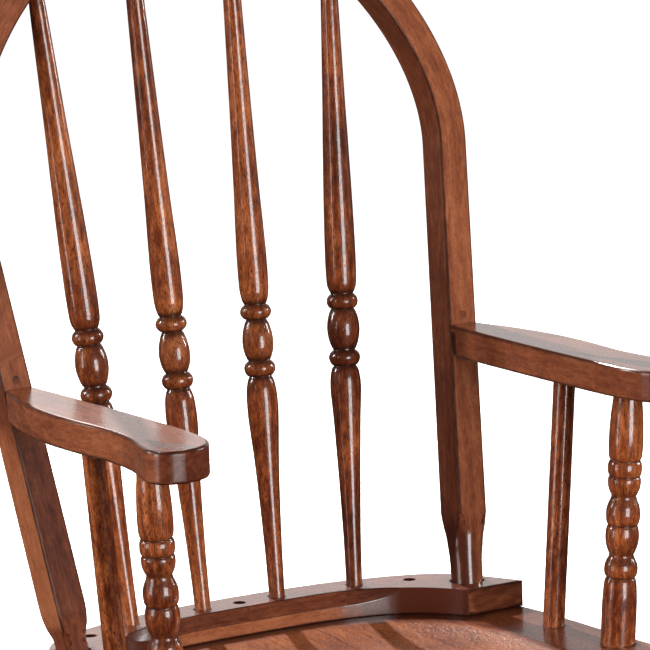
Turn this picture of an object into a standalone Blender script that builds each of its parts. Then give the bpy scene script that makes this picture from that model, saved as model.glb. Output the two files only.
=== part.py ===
"""Bow-back rocking chair in solid wood, in metres, +Z up.

The chair faces -Y. Its seat, back and arms are laid out in the seat's own frame (origin on the
seat's top face, midway between the feet of the two arm posts) and that frame leans back by
SEAT_TILT, as a rocker stands at rest. Legs, stretchers and rockers are laid out in the chair's
frame, whose origin is on the floor below the middle of the rockers.
"""

import math

import bmesh
import bpy
from mathutils import Matrix, Vector

for old in list(bpy.data.objects):
    bpy.data.objects.remove(old, do_unlink=True)

MM = 0.001
GAP = 0.3  # clearance between two pieces that touch

# ---- driving dimensions, mm ------------------------------------------------------------------
SEAT_TILT = math.radians(3.5)
SEAT_ORIGIN = (0.0, -65.0, 330.0)  # seat frame's origin in the chair's frame
SEAT_THICK = 30.0
DISH_HALF_WIDTH, DISH_REAR_CENTRE, DISH_REAR_LENGTH, DISH_DEPTH = 134.0, 20.0, 140.0, 9.0

RAIL_TOP = 18.2  # height of the crescent rail's top above the seat
RAIL_BEVEL_DEPTH, RAIL_BEVEL_HEIGHT = 6.0, 9.0
RAIL_SCREWS = ((-124.6, 179.3), (0.0, 196.3), (124.6, 179.3))

BOW_Y, BOW_LEAN = 139.6, math.atan(0.213)  # front face at the rail's top, and its lean
BOW_WIDTH, BOW_DEPTH = 20.6, 23.9
BOW_FOOT_X, BOW_FLARE = 153.0, 0.109  # legs spread by this much per unit of height
BOW_SPRING, BOW_CROWN = 297.7, 486.0  # where the arch starts, and its middle line's top
BOW_PULL_LEG, BOW_PULL_CROWN = 81.0, 107.0
BOW_FOOT_RADIUS = 9.5

SPINDLE_OUTER = ((87.3, 190.3), (0.0605, 0.1150))
SPINDLE_INNER = ((29.0, 196.0), (0.0200, 0.1120))

ARM_UNDER, ARM_TOP = 170.0, 189.0
POST_FOOT, POST_LEAN = (170.0, 0.0), (0.0575, -0.0269)
STAY_FOOT, STAY_LEAN, STAY_RADIUS = (166.3, 68.8), (0.0796, -0.0049), 6.95

ROCKER_X, ROCKER_THICK, ROCKER_TALL, ROCKER_RADIUS = 168.0, 21.0, 38.0, 1000.0
ROCKER_HALF_LENGTH = 305.0
ROCKER_LOW_Y = 10.0  # where the rockers touch the floor at rest

FRONT_LEG_TOP, FRONT_LEG_FOOT_Y = (140.0, -84.0), -188.0
REAR_LEG_TOP, REAR_LEG_FOOT_Y = (128.0, 160.0), 148.0

# ---- materials -------------------------------------------------------------------------------


def wood(name, colour, roughness=0.3):
    mat = bpy.data.materials.new(name)
    mat.use_nodes = True
    shader = mat.node_tree.nodes["Principled BSDF"]
    shader.inputs["Base Color"].default_value = (*colour, 1.0)
    shader.inputs["Roughness"].default_value = roughness
    shader.inputs["Metallic"].default_value = 0.0
    return mat


WOOD_TURNED = wood("turned_wood", (0.30, 0.105, 0.040))
WOOD_BOW = wood("bow_wood", (0.26, 0.085, 0.035))
WOOD_SEAT = wood("seat_wood", (0.33, 0.125, 0.050))
WOOD_PLUG = wood("plug_wood", (0.12, 0.035, 0.018))
STEEL = bpy.data.materials.new("screw_steel")
STEEL.use_nodes = True
STEEL.node_tree.nodes["Principled BSDF"].inputs["Base Color"].default_value = (0.18, 0.17, 0.16, 1.0)
STEEL.node_tree.nodes["Principled BSDF"].inputs["Roughness"].default_value = 0.4
STEEL.node_tree.nodes["Principled BSDF"].inputs["Metallic"].default_value = 1.0

seat_frame = bpy.data.objects.new("seat_frame", None)
seat_frame.location = [v * MM for v in SEAT_ORIGIN]
seat_frame.rotation_euler = (-SEAT_TILT, 0, 0)
bpy.context.collection.objects.link(seat_frame)

# ---- mesh helpers ----------------------------------------------------------------------------


def smoothstep(a, b, x):
    u = min(1.0, max(0.0, (x - a) / (b - a)))
    return u * u * (3 - 2 * u)


def loft(bm, rings):
    """Skins rings of equal length, and closes both ends. Rings run anticlockwise seen from the last."""
    rows = [[bm.verts.new(Vector(p) * MM) for p in ring] for ring in rings]
    n = len(rows[0])
    for low, high in zip(rows, rows[1:]):
        for j in range(n):
            k = (j + 1) % n
            bm.faces.new((low[j], low[k], high[k], high[j]))
    bm.faces.new(list(reversed(rows[0])))
    bm.faces.new(rows[-1])


def turned_rings(profile, sides, place, twist=0.0):
    """Rings of a turned piece: profile is (height, radius) from low to high, along place's Z."""
    return [
        [
            place
            @ Vector(
                (
                    r * math.cos(twist + 2 * math.pi * j / sides),
                    r * math.sin(twist + 2 * math.pi * j / sides),
                    h,
                )
            )
            for j in range(sides)
        ]
        for h, r in profile
    ]


def along(start, direction):
    """A frame at start with its Z along direction."""
    return Matrix.Translation(Vector(start)) @ Vector(direction).to_track_quat("Z", "Y").to_matrix().to_4x4()


def finish(name, bm, material, in_seat_frame, angle=40.0):
    bmesh.ops.remove_doubles(bm, verts=bm.verts, dist=1e-6)
    bmesh.ops.recalc_face_normals(bm, faces=bm.faces)
    mesh = bpy.data.meshes.new(name)
    bm.to_mesh(mesh)
    bm.free()
    mesh.shade_smooth()
    mesh.set_sharp_from_angle(angle=math.radians(angle))
    mesh.materials.append(material)
    obj = bpy.data.objects.new(name, mesh)
    bpy.context.collection.objects.link(obj)
    if in_seat_frame:
        obj.parent = seat_frame
    return obj


def turned(name, profile, sides, place, material, in_seat_frame):
    bm = bmesh.new()
    loft(bm, turned_rings(profile, sides, place))
    return finish(name, bm, material, in_seat_frame)


def drill(target, holes, in_seat_frame, sides=12):
    """Cuts round holes: each is (start, direction, ((depth, radius), ...)), radii across the flats."""
    bm = bmesh.new()
    for start, direction, steps in holes:
        wide = [(h, r / math.cos(math.pi / sides)) for h, r in steps]
        loft(bm, turned_rings(wide, sides, along(start, direction), twist=0.13))
    cutter = finish(target.name + "_drill", bm, WOOD_PLUG, in_seat_frame)
    cutter.hide_render = True
    cutter.display_type = "WIRE"
    cut = target.modifiers.new("holes", "BOOLEAN")
    cut.operation = "DIFFERENCE"
    cut.solver = "EXACT"
    cut.object = cutter


def spline(points, steps):
    """Catmull-Rom curve through points, with steps spans between each pair."""
    pts = [Vector(p) for p in points]
    pts = [2 * pts[0] - pts[1]] + pts + [2 * pts[-1] - pts[-2]]
    out = []
    for i in range(1, len(pts) - 2):
        a, b, c, d = pts[i - 1 : i + 3]
        for s in range(steps):
            t = s / steps
            out.append(
                0.5
                * (
                    2 * b
                    + (c - a) * t
                    + (2 * a - 5 * b + 4 * c - d) * t * t
                    + (3 * b - a - 3 * c + d) * t * t * t
                )
            )
    out.append(pts[-2])
    return out


# ---- turned profiles, (height, radius) -------------------------------------------------------


def bead(low, high, edge, crest, steps=4):
    """A round moulding between two heights."""
    return [
        (low + (high - low) * i / steps, edge + (crest - edge) * math.sin(math.pi * i / steps) ** 0.7)
        for i in range(steps + 1)
    ]


def taper(low, high, r_low, r_high, steps=2, bulge=0.0):
    return [
        (
            low + (high - low) * i / steps,
            r_low + (r_high - r_low) * i / steps + bulge * math.sin(math.pi * i / steps),
        )
        for i in range(steps + 1)
    ]


def joined(*pieces):
    out = []
    for piece in pieces:
        for h, r in piece:
            if not out or h > out[-1][0] + 0.35:
                out.append((h, r))
    return out


def back_spindle_profile(length):
    """Vase-and-ring spindle: tapered foot, bulb, bead, barrel, bead, bulb and a long taper to the bow."""
    return joined(
        [(-13.5, 4.6), (0.0, 4.6)],
        taper(20, 85.6, 4.95, 7.1, 2, -0.15),
        [(112, 8.75), (126, 9.6), (136, 9.8), (144, 9.2), (148.4, 7.9)],
        bead(149.4, 157.8, 8.0, 9.45, 3),
        bead(158.8, 186.0, 8.0, 9.5, 4),
        bead(187.0, 195.4, 8.0, 9.45, 3),
        [(196.8, 6.6), (201, 8.4), (208, 9.5), (216, 9.35), (236, 8.65)],
        taper(260.5, length, 7.95, 4.7, 3, 0.12),
        [(length + 11.0, 4.7)],
    )


def arm_post_profile(top):
    """Turned arm post: swelling foot, bead, urn, ball, two beads and a waisted top."""
    return joined(
        [(-13.7, 10.6), (0.0, 10.8), (25.7, 10.2), (38, 9.5), (44.4, 8.9)],
        bead(45.4, 58.4, 8.6, 10.3),
        [(59.4, 7.6)],
        bead(60.4, 77.0, 8.6, 10.3),
        bead(78.2, 96.2, 9.0, 10.4),
        [(97.4, 7.6)],
        bead(98.6, 110.9, 8.6, 10.0),
        bead(112.0, 121.0, 9.0, 10.4),
        [(122.0, 8.8), (125, 10.1), (131, 10.5), (146, 10.1), (160, 8.9), (top, 8.7)],
    )


def leg_profile(length):
    """Turned leg from the rocker up: tapered foot, swell, rings and urn as on the arm posts."""
    k = length / 260.0
    return joined(
        [(-17.0, 6.5), (0.5, 6.5), (4.0, 8.6), (12.0, 9.6)],
        taper(30 * k, 92 * k, 10.2, 12.6, 2, 0.2),
        [(104 * k, 12.2), (112 * k, 10.4)],
        bead(113 * k, 126 * k, 10.2, 12.2),
        [(127.5 * k, 9.0)],
        bead(129 * k, 150 * k, 10.4, 12.6),
        [(151.5 * k, 9.0)],
        bead(153 * k, 166 * k, 10.4, 12.2),
        [(167.5 * k, 10.2), (176 * k, 12.0), (190 * k, 12.6), (224 * k, 11.4), (length, 9.6), (length + 17, 9.6)],
    )


def front_stretcher_profile(length):
    half = [
        (-9.0, 4.6),
        (2.0, 4.6),
        (length * 0.20, 7.6),
        (length * 0.31, 8.4),
        (length * 0.335, 6.4),
        (length * 0.35, 8.6),
        (length * 0.375, 8.6),
        (length * 0.39, 6.6),
        (length * 0.43, 8.8),
        (length * 0.5, 9.6),
    ]
    return half + [(length - h, r) for h, r in reversed(half[:-1])]


def plain_stretcher_profile(length):
    half = [(-9.0, 4.6), (2.0, 4.6), (length * 0.25, 7.0), (length * 0.5, 8.6)]
    return half + [(length - h, r) for h, r in reversed(half[:-1])]


# ---- seat ------------------------------------------------------------------------------------

SEAT_HALF = spline(
    (
        (0, -138),
        (70, -136),
        (130, -131),
        (168, -117),
        (186, -88),
        (190, -50),
        (189, -8),
        (187.5, 40),
        (187, 85),
        (184, 128),
        (172.5, 154.5),
        (159, 175.5),
        (141, 190.5),
        (113, 201.5),
        (80, 209.5),
        (40, 214),
        (0, 215.5),
    ),
    2,
)


def seat_outline():
    right = [Vector((p[0], p[1])) for p in SEAT_HALF]
    return right + [Vector((-p[0], p[1])) for p in reversed(right[1:-1])]


def seat_height(x, y):
    """Top face of the seat: flat margins, a saddle scooped between them and open to the front."""
    side = abs(x) / DISH_HALF_WIDTH
    back = max(0.0, y - DISH_REAR_CENTRE) / DISH_REAR_LENGTH
    rho = (side**3.2 + back**3.2) ** (1 / 3.2)
    depth = DISH_DEPTH * max(0.0, 1 - rho**4)
    pommel = 0.6 * math.exp(-((x / 40) ** 2)) * smoothstep(20, 120, -y)
    front_fall = 4.0 * smoothstep(80, 138, -y) * smoothstep(175, 120, abs(x)) if abs(x) < 175 else 0.0
    return -depth * (1 - pommel) - front_fall


def seat():
    outline = seat_outline()
    n = len(outline)
    normals = []
    for i in range(n):
        t = outline[(i + 1) % n] - outline[i - 1]
        normals.append(Vector((t.y, -t.x)).normalized())
    centre = Vector((0.0, 36.0))

    def ring(inset, z):
        out = []
        for p, m in zip(outline, normals):
            q = p - m * inset
            out.append((q.x, q.y, z if z < -8 else seat_height(q.x, q.y) + z))
        return out

    rings = [ring(13, -SEAT_THICK), ring(5, -SEAT_THICK + 3), ring(0, -SEAT_THICK + 10), ring(0, -4.0), ring(1.2, -1.2), ring(4, 0)]
    for s in (0.92, 0.83, 0.72, 0.58, 0.40, 0.20):
        out = []
        for p, m in zip(outline, normals):
            q = centre + (p - m * 4 - centre) * s
            out.append((q.x, q.y, seat_height(q.x, q.y)))
        rings.append(out)
    bm = bmesh.new()
    loft(bm, rings)
    obj = finish("seat", bm, WOOD_SEAT, True, 50)
    lean_post, lean_stay = Vector((*POST_LEAN, 1)), Vector((*STAY_LEAN, 1))
    holes = []
    for s in (-1, 1):
        for (fx, fy), (lx, ly, _), r in ((POST_FOOT, lean_post, 10.8 + GAP), (STAY_FOOT, lean_stay, STAY_RADIUS + GAP)):
            holes.append(((s * (fx - 15 * lx), fy - 15 * ly, -15 + 0.6), (s * lx, ly, 1), ((0, r), (24, r))))
        for line in (LEGS["leg_front_right"], LEGS["leg_rear_right"]):
            a, b = line
            axis = (b - a).normalized()
            length = (b - a).length
            start = a + axis * (length - 9)
            local = to_seat(Vector((s * start.x, start.y, start.z)))
            turn = seat_frame_turn().inverted() @ Vector((s * axis.x, axis.y, axis.z))
            holes.append((local, turn, ((0, 9.6 + GAP), (9 + 17 + GAP * 2, 9.6 + GAP))))
    for x, y in RAIL_SCREWS:
        holes.append(((x, y, -17), (0, 0, 1), ((0, 1.9 + GAP), (20, 1.9 + GAP))))
    drill(obj, holes, True)


def seat_frame_turn():
    return Matrix.Rotation(-SEAT_TILT, 3, "X")


def to_chair(p):
    """A point of the seat frame, in the chair's frame."""
    return seat_frame_turn() @ Vector(p) + Vector(SEAT_ORIGIN)


def to_seat(p):
    return seat_frame_turn().inverted() @ (Vector(p) - Vector(SEAT_ORIGIN))


# ---- rockers and legs ------------------------------------------------------------------------


def rocker_angles():
    front = math.asin((-ROCKER_HALF_LENGTH - ROCKER_LOW_Y) / ROCKER_RADIUS)
    rear = math.asin((ROCKER_HALF_LENGTH - ROCKER_LOW_Y) / ROCKER_RADIUS)
    return front, rear


def rocker_tall(y):
    return ROCKER_TALL - 9.0 * (abs(y) / ROCKER_HALF_LENGTH) ** 2


def rocker_top(y):
    """Height of a rocker's upper edge above the floor at y."""
    angle = math.asin((y - ROCKER_LOW_Y) / (ROCKER_RADIUS - rocker_tall(y)))
    return ROCKER_RADIUS - (ROCKER_RADIUS - rocker_tall(y)) * math.cos(angle)


def leg_line(top, foot_y):
    """(foot, top) of a right-hand leg's axis: on the rocker's upper edge and on the seat's underside."""
    foot = Vector((ROCKER_X, foot_y, rocker_top(foot_y)))
    return foot, to_chair((top[0], top[1], -SEAT_THICK))


LEGS = {
    "leg_front_right": leg_line(FRONT_LEG_TOP, FRONT_LEG_FOOT_Y),
    "leg_rear_right": leg_line(REAR_LEG_TOP, REAR_LEG_FOOT_Y),
}


def mirrored(p, s):
    return Vector((s * p.x, p.y, p.z))


def at_fraction(line, f, s=1):
    a, b = line
    return mirrored(a + (b - a) * f, s)


SIDE_RUNG = 0.27  # heights of the stretchers, as fractions of the legs
FRONT_RUNGS = (0.40, 0.84)
REAR_RUNG = 0.40


def rung(name, a, b, profile):
    """A stretcher between the axes of two legs, its ends let in to them."""
    d = (b - a).normalized()
    start, end = a + d * 10.0, b - d * 10.0
    turned(name, profile((end - start).length), 10, along(start, d), WOOD_TURNED, False)


def rung_hole(a, b):
    d = (b - a).normalized()
    return (a + d * 0.7, d, ((0, 4.6 + GAP), (18, 4.6 + GAP)))


def undercarriage():
    front, rear = LEGS["leg_front_right"], LEGS["leg_rear_right"]
    for s, side in ((-1, "left"), (1, "right")):
        rung("stretcher_" + side, at_fraction(front, SIDE_RUNG, s), at_fraction(rear, SIDE_RUNG, s), plain_stretcher_profile)
    for f, where in zip(FRONT_RUNGS, ("lower", "upper")):
        rung("stretcher_front_" + where, at_fraction(front, f, -1), at_fraction(front, f, 1), front_stretcher_profile)
    rung("stretcher_rear", at_fraction(rear, REAR_RUNG, -1), at_fraction(rear, REAR_RUNG, 1), plain_stretcher_profile)
    for s, side in ((-1, "left"), (1, "right")):
        for key, other, rungs in (("front", rear, FRONT_RUNGS), ("rear", front, (REAR_RUNG,))):
            line = LEGS["leg_" + key + "_right"]
            foot, top = mirrored(line[0], s), mirrored(line[1], s)
            axis = (top - foot).normalized()
            leg = turned("leg_" + key + "_" + side, leg_profile((top - foot).length), 10, along(foot, axis), WOOD_TURNED, False)
            holes = [rung_hole(at_fraction(line, SIDE_RUNG, s), at_fraction(other, SIDE_RUNG, s))]
            for f in rungs:
                holes.append(rung_hole(at_fraction(line, f, s), at_fraction(line, f, -s)))
            holes.append((foot - axis * 18, axis, ((0, 1.9 + GAP), (25, 1.9 + GAP))))
            drill(leg, holes, False)
            screw("rocker_screw_" + key + "_" + side, foot - axis * 27.5, axis, 33.0, False)


def rockers():
    front, rear = rocker_angles()
    rest = 0.0125  # half the angle of the short flat that the rockers stand on
    m = 10
    angles = [front + (-rest - front) * i / m for i in range(m + 1)]
    angles += [rest + (rear - rest) * i / m for i in range(m + 1)]
    n = len(angles) - 1
    for s, side in ((-1, "left"), (1, "right")):
        rings = []
        for i, a in enumerate(angles):
            low = Vector((0, ROCKER_LOW_Y + ROCKER_RADIUS * math.sin(a), ROCKER_RADIUS * (math.cos(rest) - math.cos(a))))
            up = Vector((0, -math.sin(a), math.cos(a)))
            tall = rocker_tall(low.y)
            end = min(i, n - i)
            nose = (7.5, 1.5, 0, 0)[min(end, 3)]  # rounded tips
            lo, hi = nose, tall - nose
            w, e = ROCKER_THICK / 2, 2.0
            section = ((-w + e, lo), (w - e, lo), (w, lo + e), (w, hi - e), (w - e, hi), (-w + e, hi), (-w, hi - e), (-w, lo + e))
            slide = Vector((0, 0, 0))
            if end == 1:
                tip = ROCKER_LOW_Y + ROCKER_RADIUS * math.sin(front if i < n / 2 else rear)
                slide = Vector((0, (tip - low.y) * 0.72, 0))
                slide.z = slide.y * math.tan(a)
            rings.append([Vector((s * ROCKER_X + x, 0, 0)) + low + slide + up * h for x, h in section])
        bm = bmesh.new()
        loft(bm, [list(reversed(r)) for r in rings])
        obj = finish("rocker_" + side, bm, WOOD_BOW, False, 35)
        holes = []
        for key in ("front", "rear"):
            line = LEGS["leg_" + key + "_right"]
            foot, top = mirrored(line[0], s), mirrored(line[1], s)
            axis = (top - foot).normalized()
            holes.append((foot - axis * 45, axis, ((0, 4.1 + GAP), (21.4, 4.1 + GAP), (21.41, 1.9 + GAP), (45 - 17.3, 1.9 + GAP), (45 - 17.29, 6.5 + GAP), (52, 6.5 + GAP))))
        drill(obj, holes, False)


def screw(name, start, direction, length, in_seat_frame, head=3.8):
    """Flat-headed wood screw: start is the head's outer face and direction points into the wood."""
    profile = [(0, head), (1.2, head), (3.4, 1.9), (length - 4, 1.9), (length, 0.6)]
    turned(name, profile, 8, along(start, direction), STEEL, in_seat_frame)


# ---- crescent rail ---------------------------------------------------------------------------

RAIL_REAR = spline(((182.5, 128), (170.5, 153.5), (157.5, 174), (139.5, 189), (112, 200), (79.5, 208), (40, 212.5), (0, 214)), 2)
RAIL_FRONT = spline(((137.4, 128), (126.5, 144.5), (112, 159), (94, 170), (74, 176.5), (50, 180), (25, 181), (0, 181.2)), 2)


def back_rail():
    n = len(RAIL_REAR)
    rings = []
    for i in list(range(n)) + list(range(n - 2, -1, -1)):
        s = 1 if len(rings) < n else -1
        rear, front = RAIL_REAR[i], RAIL_FRONT[i]
        c = 1 - smoothstep(35, 118, front.x)
        top = Vector((0, RAIL_BEVEL_DEPTH * c * 0.5))
        section = (
            (rear.x, rear.y, GAP),
            (rear.x, rear.y, RAIL_TOP - 0.8),
            (rear.x - 0.5, rear.y - 0.8, RAIL_TOP),
            (front.x, front.y + top.y, RAIL_TOP),
            (front.x, front.y - top.y, RAIL_TOP - 0.3 - (RAIL_BEVEL_HEIGHT - 0.3) * c),
            (front.x, front.y - top.y, GAP),
        )
        rings.append([(s * x, y, z) for x, y, z in section])
    bm = bmesh.new()
    loft(bm, rings)
    obj = finish("back_rail", bm, WOOD_BOW, True, 35)
    holes = []
    for s in (-1, 1):
        for (fx, fy), (lx, ly) in (SPINDLE_OUTER, SPINDLE_INNER):
            holes.append(((s * (fx - 14 * lx), fy - 14 * ly, RAIL_TOP - 14), (s * lx, ly, 1), ((0, 4.6 + GAP), (22, 4.6 + GAP))))
        foot, up = bow_point(0, BOW_DEPTH / 2), bow_up()
        axis = Vector((s * BOW_FLARE, 0, 0)) + up
        start = Vector((s * BOW_FOOT_X, foot.y, foot.z)) - axis * 12.9
        holes.append((start, axis, ((0, BOW_FOOT_RADIUS + GAP), (24, BOW_FOOT_RADIUS + GAP))))
    for x, y in RAIL_SCREWS:
        holes.append(((x, y, -3), (0, 0, 1), ((0, 1.9 + GAP), (3 + 7.7, 1.9 + GAP), (3 + 7.71, 4.1), (26, 4.1))))
        screw("rail_screw_" + {-1: "left", 0: "middle", 1: "right"}[(x > 0) - (x < 0)], (x, y, 11.4), (0, 0, -1), 26, True)
    drill(obj, holes, True)


# ---- bow -------------------------------------------------------------------------------------


def bow_up():
    return Vector((0, math.sin(BOW_LEAN), math.cos(BOW_LEAN)))


def bow_point(t, depth):
    """The middle plane's point at height t along the bow's plane, depth behind its front face."""
    return Vector((0, BOW_Y, RAIL_TOP)) + bow_up() * t + Vector((0, math.cos(BOW_LEAN), -math.sin(BOW_LEAN))) * depth


def bow_line():
    """(x, t, roundness) along the bow's middle line, from the right foot to the crown."""
    out = []
    for t, round_ in ((-12.5, 1), (-1, 1), (14, 1), (22, 0.85), (30, 0.5), (38, 0.2), (47, 0), (165, 0)):
        out.append((BOW_FOOT_X + BOW_FLARE * t, t, round_))
    p0 = Vector((BOW_FOOT_X + BOW_FLARE * BOW_SPRING, BOW_SPRING))
    p1 = p0 + Vector((BOW_FLARE, 1)).normalized() * BOW_PULL_LEG
    p3 = Vector((0, BOW_CROWN))
    p2 = p3 + Vector((BOW_PULL_CROWN, 0))
    n = 15
    for i in range(n + 1):
        u = i / n
        p = p0 * (1 - u) ** 3 + p1 * 3 * u * (1 - u) ** 2 + p2 * 3 * u * u * (1 - u) + p3 * u**3
        out.append((p.x, p.y, 0))
    return out


def bow_section(roundness):
    """Twelve points round the bow: a rectangle with eased edges, or the round tenon at its feet."""
    w, d, e = BOW_WIDTH / 2, BOW_DEPTH / 2, 2.2
    box = []
    for sx, sd in ((1, -1), (1, 1), (-1, 1), (-1, -1)):
        corner = [(sx * w, sd * (d - e)), (sx * (w - e * 0.29), sd * (d - e * 0.29)), (sx * (w - e), sd * d)]
        box += corner if sx * sd > 0 else corner[::-1]
    out = []
    for x, y in box:
        angle = math.atan2(y, x)
        out.append((x * (1 - roundness) + BOW_FOOT_RADIUS * math.cos(angle) * roundness, y * (1 - roundness) + BOW_FOOT_RADIUS * math.sin(angle) * roundness))
    return out


def bow():
    half = bow_line()
    path = half + [(-x, t, r) for x, t, r in reversed(half[:-1])]
    rings = []
    for i, (x, t, roundness) in enumerate(path):
        a, b = path[max(0, i - 1)], path[min(len(path) - 1, i + 1)]
        tangent = Vector((b[0] - a[0], b[1] - a[1])).normalized()
        across = Vector((tangent.y, -tangent.x))
        ring = []
        for u, v in bow_section(roundness):
            p = bow_point(t + across.y * u, BOW_DEPTH / 2 + v)
            ring.append((x + across.x * u, p.y, p.z))
        rings.append(ring)
    bm = bmesh.new()
    loft(bm, rings)
    obj = finish("bow", bm, WOOD_BOW, True, 35)
    holes = []
    for s in (-1, 1):
        for data in (SPINDLE_OUTER, SPINDLE_INNER):
            foot, axis, length = spindle_line(data)
            start = foot + axis * (length - 6)
            holes.append((mirrored(start, s), mirrored(axis, s), ((0, 4.7 + GAP), (17.6, 4.7 + GAP))))
        centre = arm_screw_point()
        holes.append(((s * centre.x, centre.y + 40, centre.z), (0, -1, 0), ((0, 4.1 + GAP), (40 - ARM_SCREW_HEAD + 4.2, 4.1 + GAP), (40 - ARM_SCREW_HEAD + 4.21, 1.9 + GAP), (80, 1.9 + GAP))))
        p, d = bow_pin_point(), bow_pin_axis()
        holes.append(((s * p.x, p.y - d.y * 3, p.z - d.z * 3), d, ((0, 2.1 + GAP), (10.5, 2.1 + GAP))))
        turned("bow_pin_" + ("right" if s > 0 else "left"), [(0, 2.1), (6.9, 2.1)], 10, along((s * p.x, p.y + d.y * 0.2, p.z + d.z * 0.2), d), WOOD_PLUG, True)
        screw("arm_screw_" + ("right" if s > 0 else "left"), (s * centre.x, centre.y + ARM_SCREW_HEAD, centre.z), (0, -1, 0), 42, True)
    drill(obj, holes, True)


ARM_SCREW_HEAD = 21.0  # the screw head's face behind the bow's front face


def arm_screw_point():
    """Where the screw's axis crosses the bow's front face."""
    z = (ARM_UNDER + ARM_TOP) / 2
    t = (z - RAIL_TOP) / math.cos(BOW_LEAN)
    return Vector((BOW_FOOT_X + BOW_FLARE * t, BOW_Y + (z - RAIL_TOP) * math.tan(BOW_LEAN), z))


def bow_pin_point():
    z = ARM_TOP + 6.0
    t = (z - RAIL_TOP) / math.cos(BOW_LEAN)
    return Vector((BOW_FOOT_X + BOW_FLARE * t, BOW_Y + (z - RAIL_TOP) * math.tan(BOW_LEAN), z))


def bow_pin_axis():
    return Vector((0, math.cos(BOW_LEAN), -math.sin(BOW_LEAN)))


def spindle_line(data):
    """(foot, unit axis, length to the bow's inner edge) of a right-hand back spindle."""
    (fx, fy), (lx, ly) = data
    foot, axis = Vector((fx, fy, RAIL_TOP)), Vector((lx, ly, 1)).normalized()
    path = bow_line()
    for length in range(300, 520):
        p = foot + axis * length
        t = (p - bow_point(0, 0)).dot(bow_up())
        gaps = [math.hypot(p.x - x, t - h) for x, h, _ in path]
        i = gaps.index(min(gaps))
        near = min(
            segment_gap(p.x, t, path[j], path[j + 1]) for j in range(max(0, i - 1), min(len(path) - 1, i + 1))
        )
        if near < BOW_WIDTH / 2:
            return foot, axis, float(length)
    return foot, axis, 520.0


def segment_gap(x, y, a, b):
    dx, dy = b[0] - a[0], b[1] - a[1]
    u = max(0.0, min(1.0, ((x - a[0]) * dx + (y - a[1]) * dy) / (dx * dx + dy * dy)))
    return math.hypot(x - a[0] - u * dx, y - a[1] - u * dy)


def back_spindles():
    names = {(-1, 0): "1", (-1, 1): "2", (1, 1): "3", (1, 0): "4"}
    for s in (-1, 1):
        for k, data in enumerate((SPINDLE_OUTER, SPINDLE_INNER)):
            foot, axis, length = spindle_line(data)
            turned("back_spindle_" + names[s, k], back_spindle_profile(length), 10, along(mirrored(foot, s), mirrored(axis, s)), WOOD_TURNED, True)


# ---- arms ------------------------------------------------------------------------------------

ARM_OUTER = spline(((181.4, 176), (190.5, 142), (196.8, 104), (197.6, 66), (195.2, 24), (198.2, -10), (205.6, -36), (208.6, -50), (204, -61.5), (191.5, -66.5)), 2)
ARM_INNER = spline(((160.9, 176), (159.2, 142), (158.2, 104), (157.4, 66), (157.2, 24), (157.6, -10), (159.6, -32), (163.4, -47), (171.5, -58.5), (181, -64.5)), 2)


def arms():
    for s, side in ((-1, "left"), (1, "right")):
        rings = []
        n = len(ARM_OUTER)
        for i in range(n):
            outer, inner = ARM_OUTER[i], ARM_INNER[i]
            ends = smoothstep(0, 1.5, n - 1 - i)
            e = 3.0
            section = (
                (inner, ARM_UNDER + 1.5),
                (inner, ARM_TOP - e),
                (inner.lerp(outer, 0.32 * e / (outer - inner).length), ARM_TOP - 0.32 * e),
                (inner.lerp(outer, e / (outer - inner).length), ARM_TOP),
                (outer.lerp(inner, e / (outer - inner).length), ARM_TOP),
                (outer.lerp(inner, 0.32 * e / (outer - inner).length), ARM_TOP - 0.32 * e),
                (outer, ARM_TOP - e),
                (outer, ARM_UNDER + 1.5),
                (outer.lerp(inner, 1.5 / (outer - inner).length), ARM_UNDER),
                (inner.lerp(outer, 1.5 / (outer - inner).length), ARM_UNDER),
            )
            ring = []
            for p, z in section:
                y = p.y
                if i == 0:  # the rear end is cut to the bow's lean, just clear of it
                    y = BOW_Y + (z - RAIL_TOP) * math.tan(BOW_LEAN) - GAP
                ring.append((s * p.x, y, z))
            rings.append(ring)
        bm = bmesh.new()
        loft(bm, rings)
        obj = finish("arm_" + side, bm, WOOD_BOW, True, 30)
        holes = []
        for (fx, fy), (lx, ly), r in ((POST_FOOT, POST_LEAN, 8.7 + GAP), (STAY_FOOT, STAY_LEAN, STAY_RADIUS + GAP)):
            z = ARM_UNDER - 6
            holes.append(((s * (fx + lx * z), fy + ly * z, z), (s * lx, ly, 1), ((0, r), (18.5, r))))
        centre = arm_screw_point()
        holes.append(((s * centre.x, centre.y + 4, centre.z), (0, -1, 0), ((0, 1.9 + GAP), (4 + 22, 1.9 + GAP))))
        drill(obj, holes, True)
        post = Vector((s * POST_LEAN[0], POST_LEAN[1], 1))
        length = (ARM_UNDER + 11.8) * post.length
        turned("arm_post_" + side, arm_post_profile(length), 10, along((s * POST_FOOT[0], POST_FOOT[1], 0), post), WOOD_TURNED, True)
        stay = Vector((s * STAY_LEAN[0], STAY_LEAN[1], 1))
        top = (ARM_UNDER + 11.8) * stay.length
        turned("arm_spindle_" + side, [(-13.7, STAY_RADIUS), (top * 0.5, STAY_RADIUS + 0.1), (top, STAY_RADIUS)], 10, along((s * STAY_FOOT[0], STAY_FOOT[1], 0), stay), WOOD_TURNED, True)


seat()
back_rail()
bow()
back_spindles()
arms()
undercarriage()
rockers()
bpy.context.view_layer.update()
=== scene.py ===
import math

import bmesh
import bpy
import numpy as np
from mathutils import Matrix, Vector


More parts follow.
